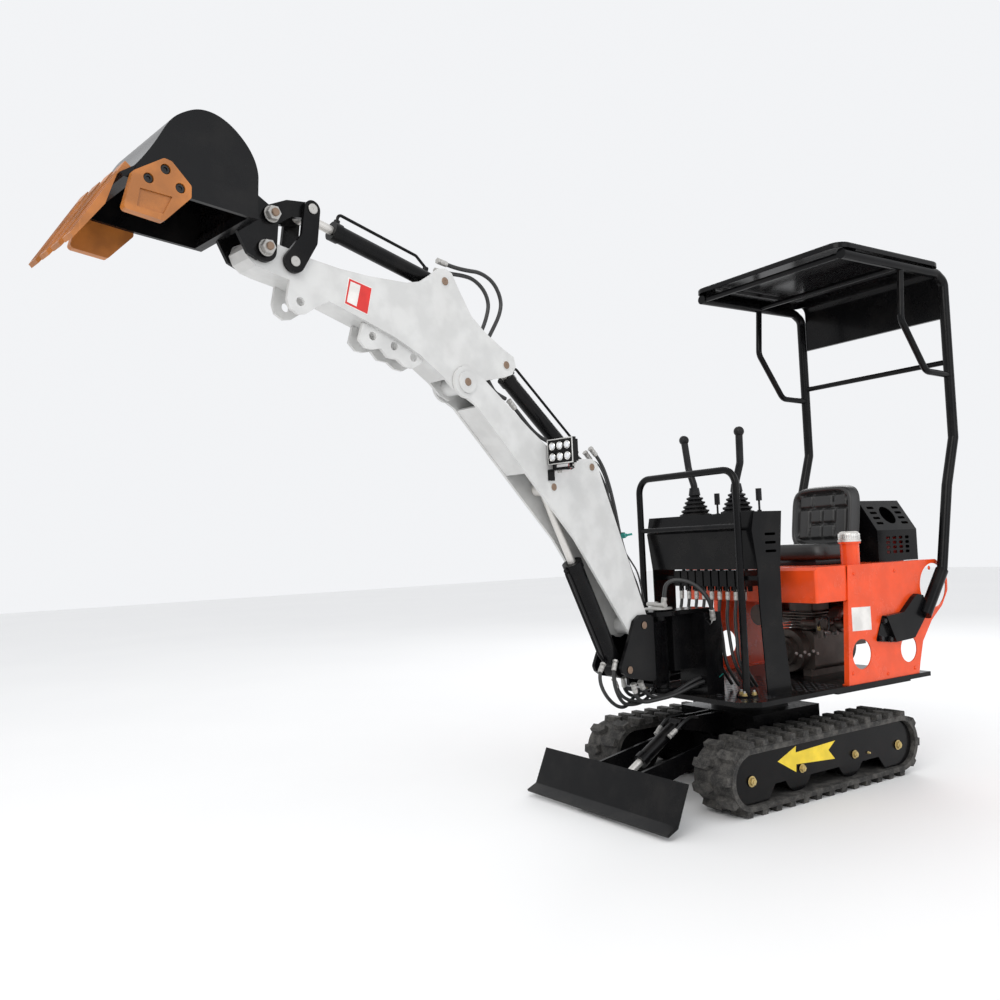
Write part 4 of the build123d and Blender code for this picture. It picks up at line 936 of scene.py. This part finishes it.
def rest_relief(x, y):
    """Height of the backrest over its pan: a thick rim, and pads in three rows."""
    edge = max(abs(x) ** VINYL_ROUND, 0) + abs(y) ** VINYL_ROUND
    edge = edge ** (1 / VINYL_ROUND)
    rim = pad_between(edge, 0.80, 1.3, 0.05) * 26
    pads = 0
    for low, high in ((-0.72, -0.34), (-0.28, 0.28), (0.34, 0.72)):
        pads += pad_between(x, low, high, 0.03) * pad_between(y, 0.34, 0.70, 0.04)
    for low, high in ((-0.72, -0.42), (0.42, 0.72)):
        pads += pad_between(x, low, high, 0.03) * pad_between(y, -0.62, 0.26, 0.04)
    for low, high in ((-0.36, -0.03), (0.03, 0.36)):
        for bottom, top in ((-0.62, -0.22), (-0.14, 0.26)):
            pads += pad_between(x, low, high, 0.03) * pad_between(y, bottom, top, 0.04)
    fall = 1 - smooth_step(edge, 0.90, 1.0)
    return (rim + 12 * min(1, pads)) * fall


def cushion_relief(x, y):
    """Height of the cushion: a rim at the back and the sides, and a full rounded front lip."""
    edge = (abs(x) ** VINYL_ROUND + abs(y) ** VINYL_ROUND) ** (1 / VINYL_ROUND)
    rim = pad_between(edge, 0.78, 1.3, 0.06) * (22 if y < 0.5 else 26)
    pads = 0
    for low, high in ((-0.70, -0.05), (0.05, 0.70)):
        for bottom, top in ((-0.68, -0.26), (-0.18, 0.24), (0.32, 0.72)):
            pads += pad_between(x, low, high, 0.03) * pad_between(y, bottom, top, 0.04)
    fall = 1 - smooth_step(edge, 0.90, 1.0)
    return (rim + 10 * min(1, pads)) * fall


def pan_shape(shape, place, half_width, half_height, depth, relief, cells=72):
    """Rounded pad: a grid drawn into a rounded outline, with relief in front and a full edge behind."""
    for face in (1, -1):
        made = bmesh.ops.create_grid(shape, x_segments=cells, y_segments=cells, size=1)["verts"]
        for vert in made:
            x, y = vert.co.x, vert.co.y
            reach = max(abs(x), abs(y))
            spread = (abs(x) ** VINYL_ROUND + abs(y) ** VINYL_ROUND) ** (1 / VINYL_ROUND)
            pull = reach / spread if spread else 1
            x, y = x * pull, y * pull
            swell = (1 - min(1, reach) ** 10) ** 0.5
            height = depth / 2 * swell
            if face > 0:
                height += relief(x, y)
            vert.co = Vector((x * half_width / 1000, y * half_height / 1000, face * height / 1000))
        bmesh.ops.transform(shape, matrix=place, verts=made)
    bmesh.ops.remove_doubles(shape, verts=shape.verts, dist=0.00004)


class EXCAVATOR_OT_seat(bpy.types.Operator):
    """Vinyl pan seat with pads in its back, on its pedestal"""
    bl_idname = "excavator.seat"
    bl_label = "Seat"

    def execute(self, context):
        back = bmesh.new()
        lean = Vector((0.99, 0, 0.14)).normalized()
        place = facing(spot(-512, SEAT_MIDDLE, 1026), lean, LEFT)
        pan_shape(back, place, 166, 142, 34, rest_relief)
        pan = add_piece(context, "seat_back", back, "seat_vinyl", "upper_works", 60)
        cushion = bmesh.new()
        place = facing(spot(-388, SEAT_MIDDLE, 876), UP, -LEFT)
        pan_shape(cushion, place, 170, 146, 44, cushion_relief)
        base = add_piece(context, "seat_cushion", cushion, "seat_vinyl", "upper_works", 60)
        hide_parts("seat")
        frame = bmesh.new()
        slab(frame, Matrix.Translation(spot(-395, SEAT_MIDDLE, 846)), (250, 240, 26), 5)
        slab(frame, Matrix.Translation(spot(-538, SEAT_MIDDLE, 872)), (26, 130, 76), 3)
        slab(frame, Matrix.Translation(spot(-545, SEAT_MIDDLE, 960)), (14, 130, 150), 3)
        add_piece(context, "seat_frame", frame, "black_paint", "upper_works")
        return {"FINISHED"}


class EXCAVATOR_OT_deck_tread(bpy.types.Operator):
    """Raised lozenges of the deck's tread plate, between the console and the tank"""
    bl_idname = "excavator.deck_tread"
    bl_label = "Tread plate"

    def execute(self, context):
        shape = bmesh.new()
        for row in range(17):
            for column in range(22):
                x, y = -150 + 30 * row, -320 + 30 * column
                if x > 300 and abs(y) > 280 or math.hypot(x - 262, y - 230) < 48 or math.hypot(x - 262, y + 300) < 48:
                    continue
                if 40 < x < 205 and (y > 250 or y < -285):
                    continue
                if x > 225 and -60 < y < 115:
                    continue
                turn = Matrix.Rotation(math.radians(45 if (row + column) % 2 else -45), 4, "Z")
                place = Matrix.Translation(spot(x, y, DECK_FACE)) @ turn @ Matrix.Diagonal((1, 0.3, 1, 1))
                turned(shape, place, ((12, 0), (10, 1.1), (0, 1.5)), 6)
        add_piece(context, "deck_tread", shape, "black_paint", "upper_works")
        return {"FINISHED"}


class EXCAVATOR_OT_engine_parts(bpy.types.Operator):
    """Red cowl under the hood, fuel hose, starter cord housing and clamps of the engine"""
    bl_idname = "excavator.engine_parts"
    bl_label = "Engine parts"

    def execute(self, context):
        cowl = bmesh.new()
        slab(cowl, Matrix.Translation(spot(-739, 0, 770)), (226, 340, 344), 14, 4)
        add_piece(context, "engine_cowl", cowl, "cowl_red", "upper_works")
        metal = bmesh.new()
        ring = facing(spot(-372, 200, 606), LEFT)
        turned(metal, ring, ((27, 0), (52, 0), (52, 2), (47, 5), (32, 5), (27, 2), (27, 0)), 40)
        for x, z, radius in ((-300, 560, 9), (-270, 604, 8), (-318, 612, 7), (-250, 566, 6)):
            place = facing(spot(x, 196, z), LEFT, UP)
            turned(metal, place, ((0, 0), (radius + 3, 0), (radius + 3, 3), (radius, 4), (radius, 14),
                                  (0, 14)), 20)
            hexagon(metal, place, radius * 1.6, 13, 19, 0.6)
        for number in range(6):
            place = facing(spot(-300 + 26 * number, 106, 470 + 12 * (number % 2)), LEFT, UP)
            hexagon(metal, place, 13, 0, 7, 0.8)
        add_piece(context, "engine_fittings", metal, "cast_bright", "upper_works")
        fuel = [spot(-240, 172, 580), spot(-208, 192, 606), spot(-222, 210, 632), spot(-250, 212, 628),
                spot(-264, 206, 598), spot(-262, 198, 570), spot(-248, 192, 548)]
        path = add_hose(context, "fuel_hose", fuel, 8, "upper_works")
        cuff = bmesh.new()
        ferrules(cuff, path, 8, (0,), 18)
        add_piece(context, "fuel_hose_cuff", cuff, "zinc_yellow", "upper_works")
        return {"FINISHED"}


class EXCAVATOR_OT_trim(bpy.types.Operator):
    """Flutes on the filler cap and fittings on the swing post"""
    bl_idname = "excavator.trim"
    bl_label = "Trim"

    def execute(self, context):
        flutes = bmesh.new()
        for number in range(28):
            turn = math.tau * number / 28
            out = Vector((math.cos(turn), math.sin(turn), 0))
            place = facing(spot(-292, 300, 945) + out * 0.040, UP, out)
            slab(flutes, place, (3.2, 4.6, 22), 1.0)
        add_piece(context, "cap_flutes", flutes, "chrome_rod", "upper_works")
        fittings = bmesh.new()
        post = boom_spot(0, 0, 702)
        turned(fittings, facing(post, UP), ((0, 0), (52, 0), (54, 1.5), (54, 5), (52, 6.5), (34, 6.5), (32, 9),
                                            (0, 9)), 40)
        add_piece(context, "post_cap", fittings, "bright_metal", "upper_works")
        tees = bmesh.new()
        for x, y, z in ((468, 10, 718), (462, -40, 720)):
            place = facing(spot(x, y, z), LEFT, UP)
            turned(tees, place, ((0, -22), (7, -22), (8.5, -20), (8.5, 20), (7, 22), (0, 22)), 20)
            hexagon(tees, place, 20, 20, 32, 1)
        add_piece(context, "post_tees", tees, "bright_metal", "upper_works")
        return {"FINISHED"}


STEPS = (EXCAVATOR_OT_finishes, EXCAVATOR_OT_stage, EXCAVATOR_OT_pins, EXCAVATOR_OT_fasteners,
         EXCAVATOR_OT_marks, EXCAVATOR_OT_hoses, EXCAVATOR_OT_ties, EXCAVATOR_OT_lamp, EXCAVATOR_OT_seat,
         EXCAVATOR_OT_deck_tread, EXCAVATOR_OT_engine_parts, EXCAVATOR_OT_trim)


class EXCAVATOR_PT_panel(bpy.types.Panel):
    """Lists the steps that dress the excavator"""
    bl_idname = "EXCAVATOR_PT_panel"
    bl_label = "Excavator"
    bl_space_type = "VIEW_3D"
    bl_region_type = "UI"
    bl_category = "Excavator"

    def draw(self, context):
        for step in STEPS:
            self.layout.operator(step.bl_idname)
        for name in PaintColours.__annotations__:
            self.layout.prop(context.scene.excavator_colours, name)
        for name in StageSizes.__annotations__:
            self.layout.prop(context.scene.excavator_stage, name)


GROUPS = {"excavator_colours": PaintColours, "excavator_stage": StageSizes}


def register():
    for kind in (*GROUPS.values(), *STEPS, EXCAVATOR_PT_panel):
        bpy.utils.register_class(kind)
    for name, kind in GROUPS.items():
        setattr(bpy.types.Scene, name, bpy.props.PointerProperty(type=kind))


def unregister():
    for name in GROUPS:
        delattr(bpy.types.Scene, name)
    for kind in reversed((*GROUPS.values(), *STEPS, EXCAVATOR_PT_panel)):
        bpy.utils.unregister_class(kind)


def main():
    register()
    for step in STEPS:
        group, name = step.bl_idname.split(".")
        getattr(getattr(bpy.ops, group), name)()


if __name__ == "__main__":
    main()
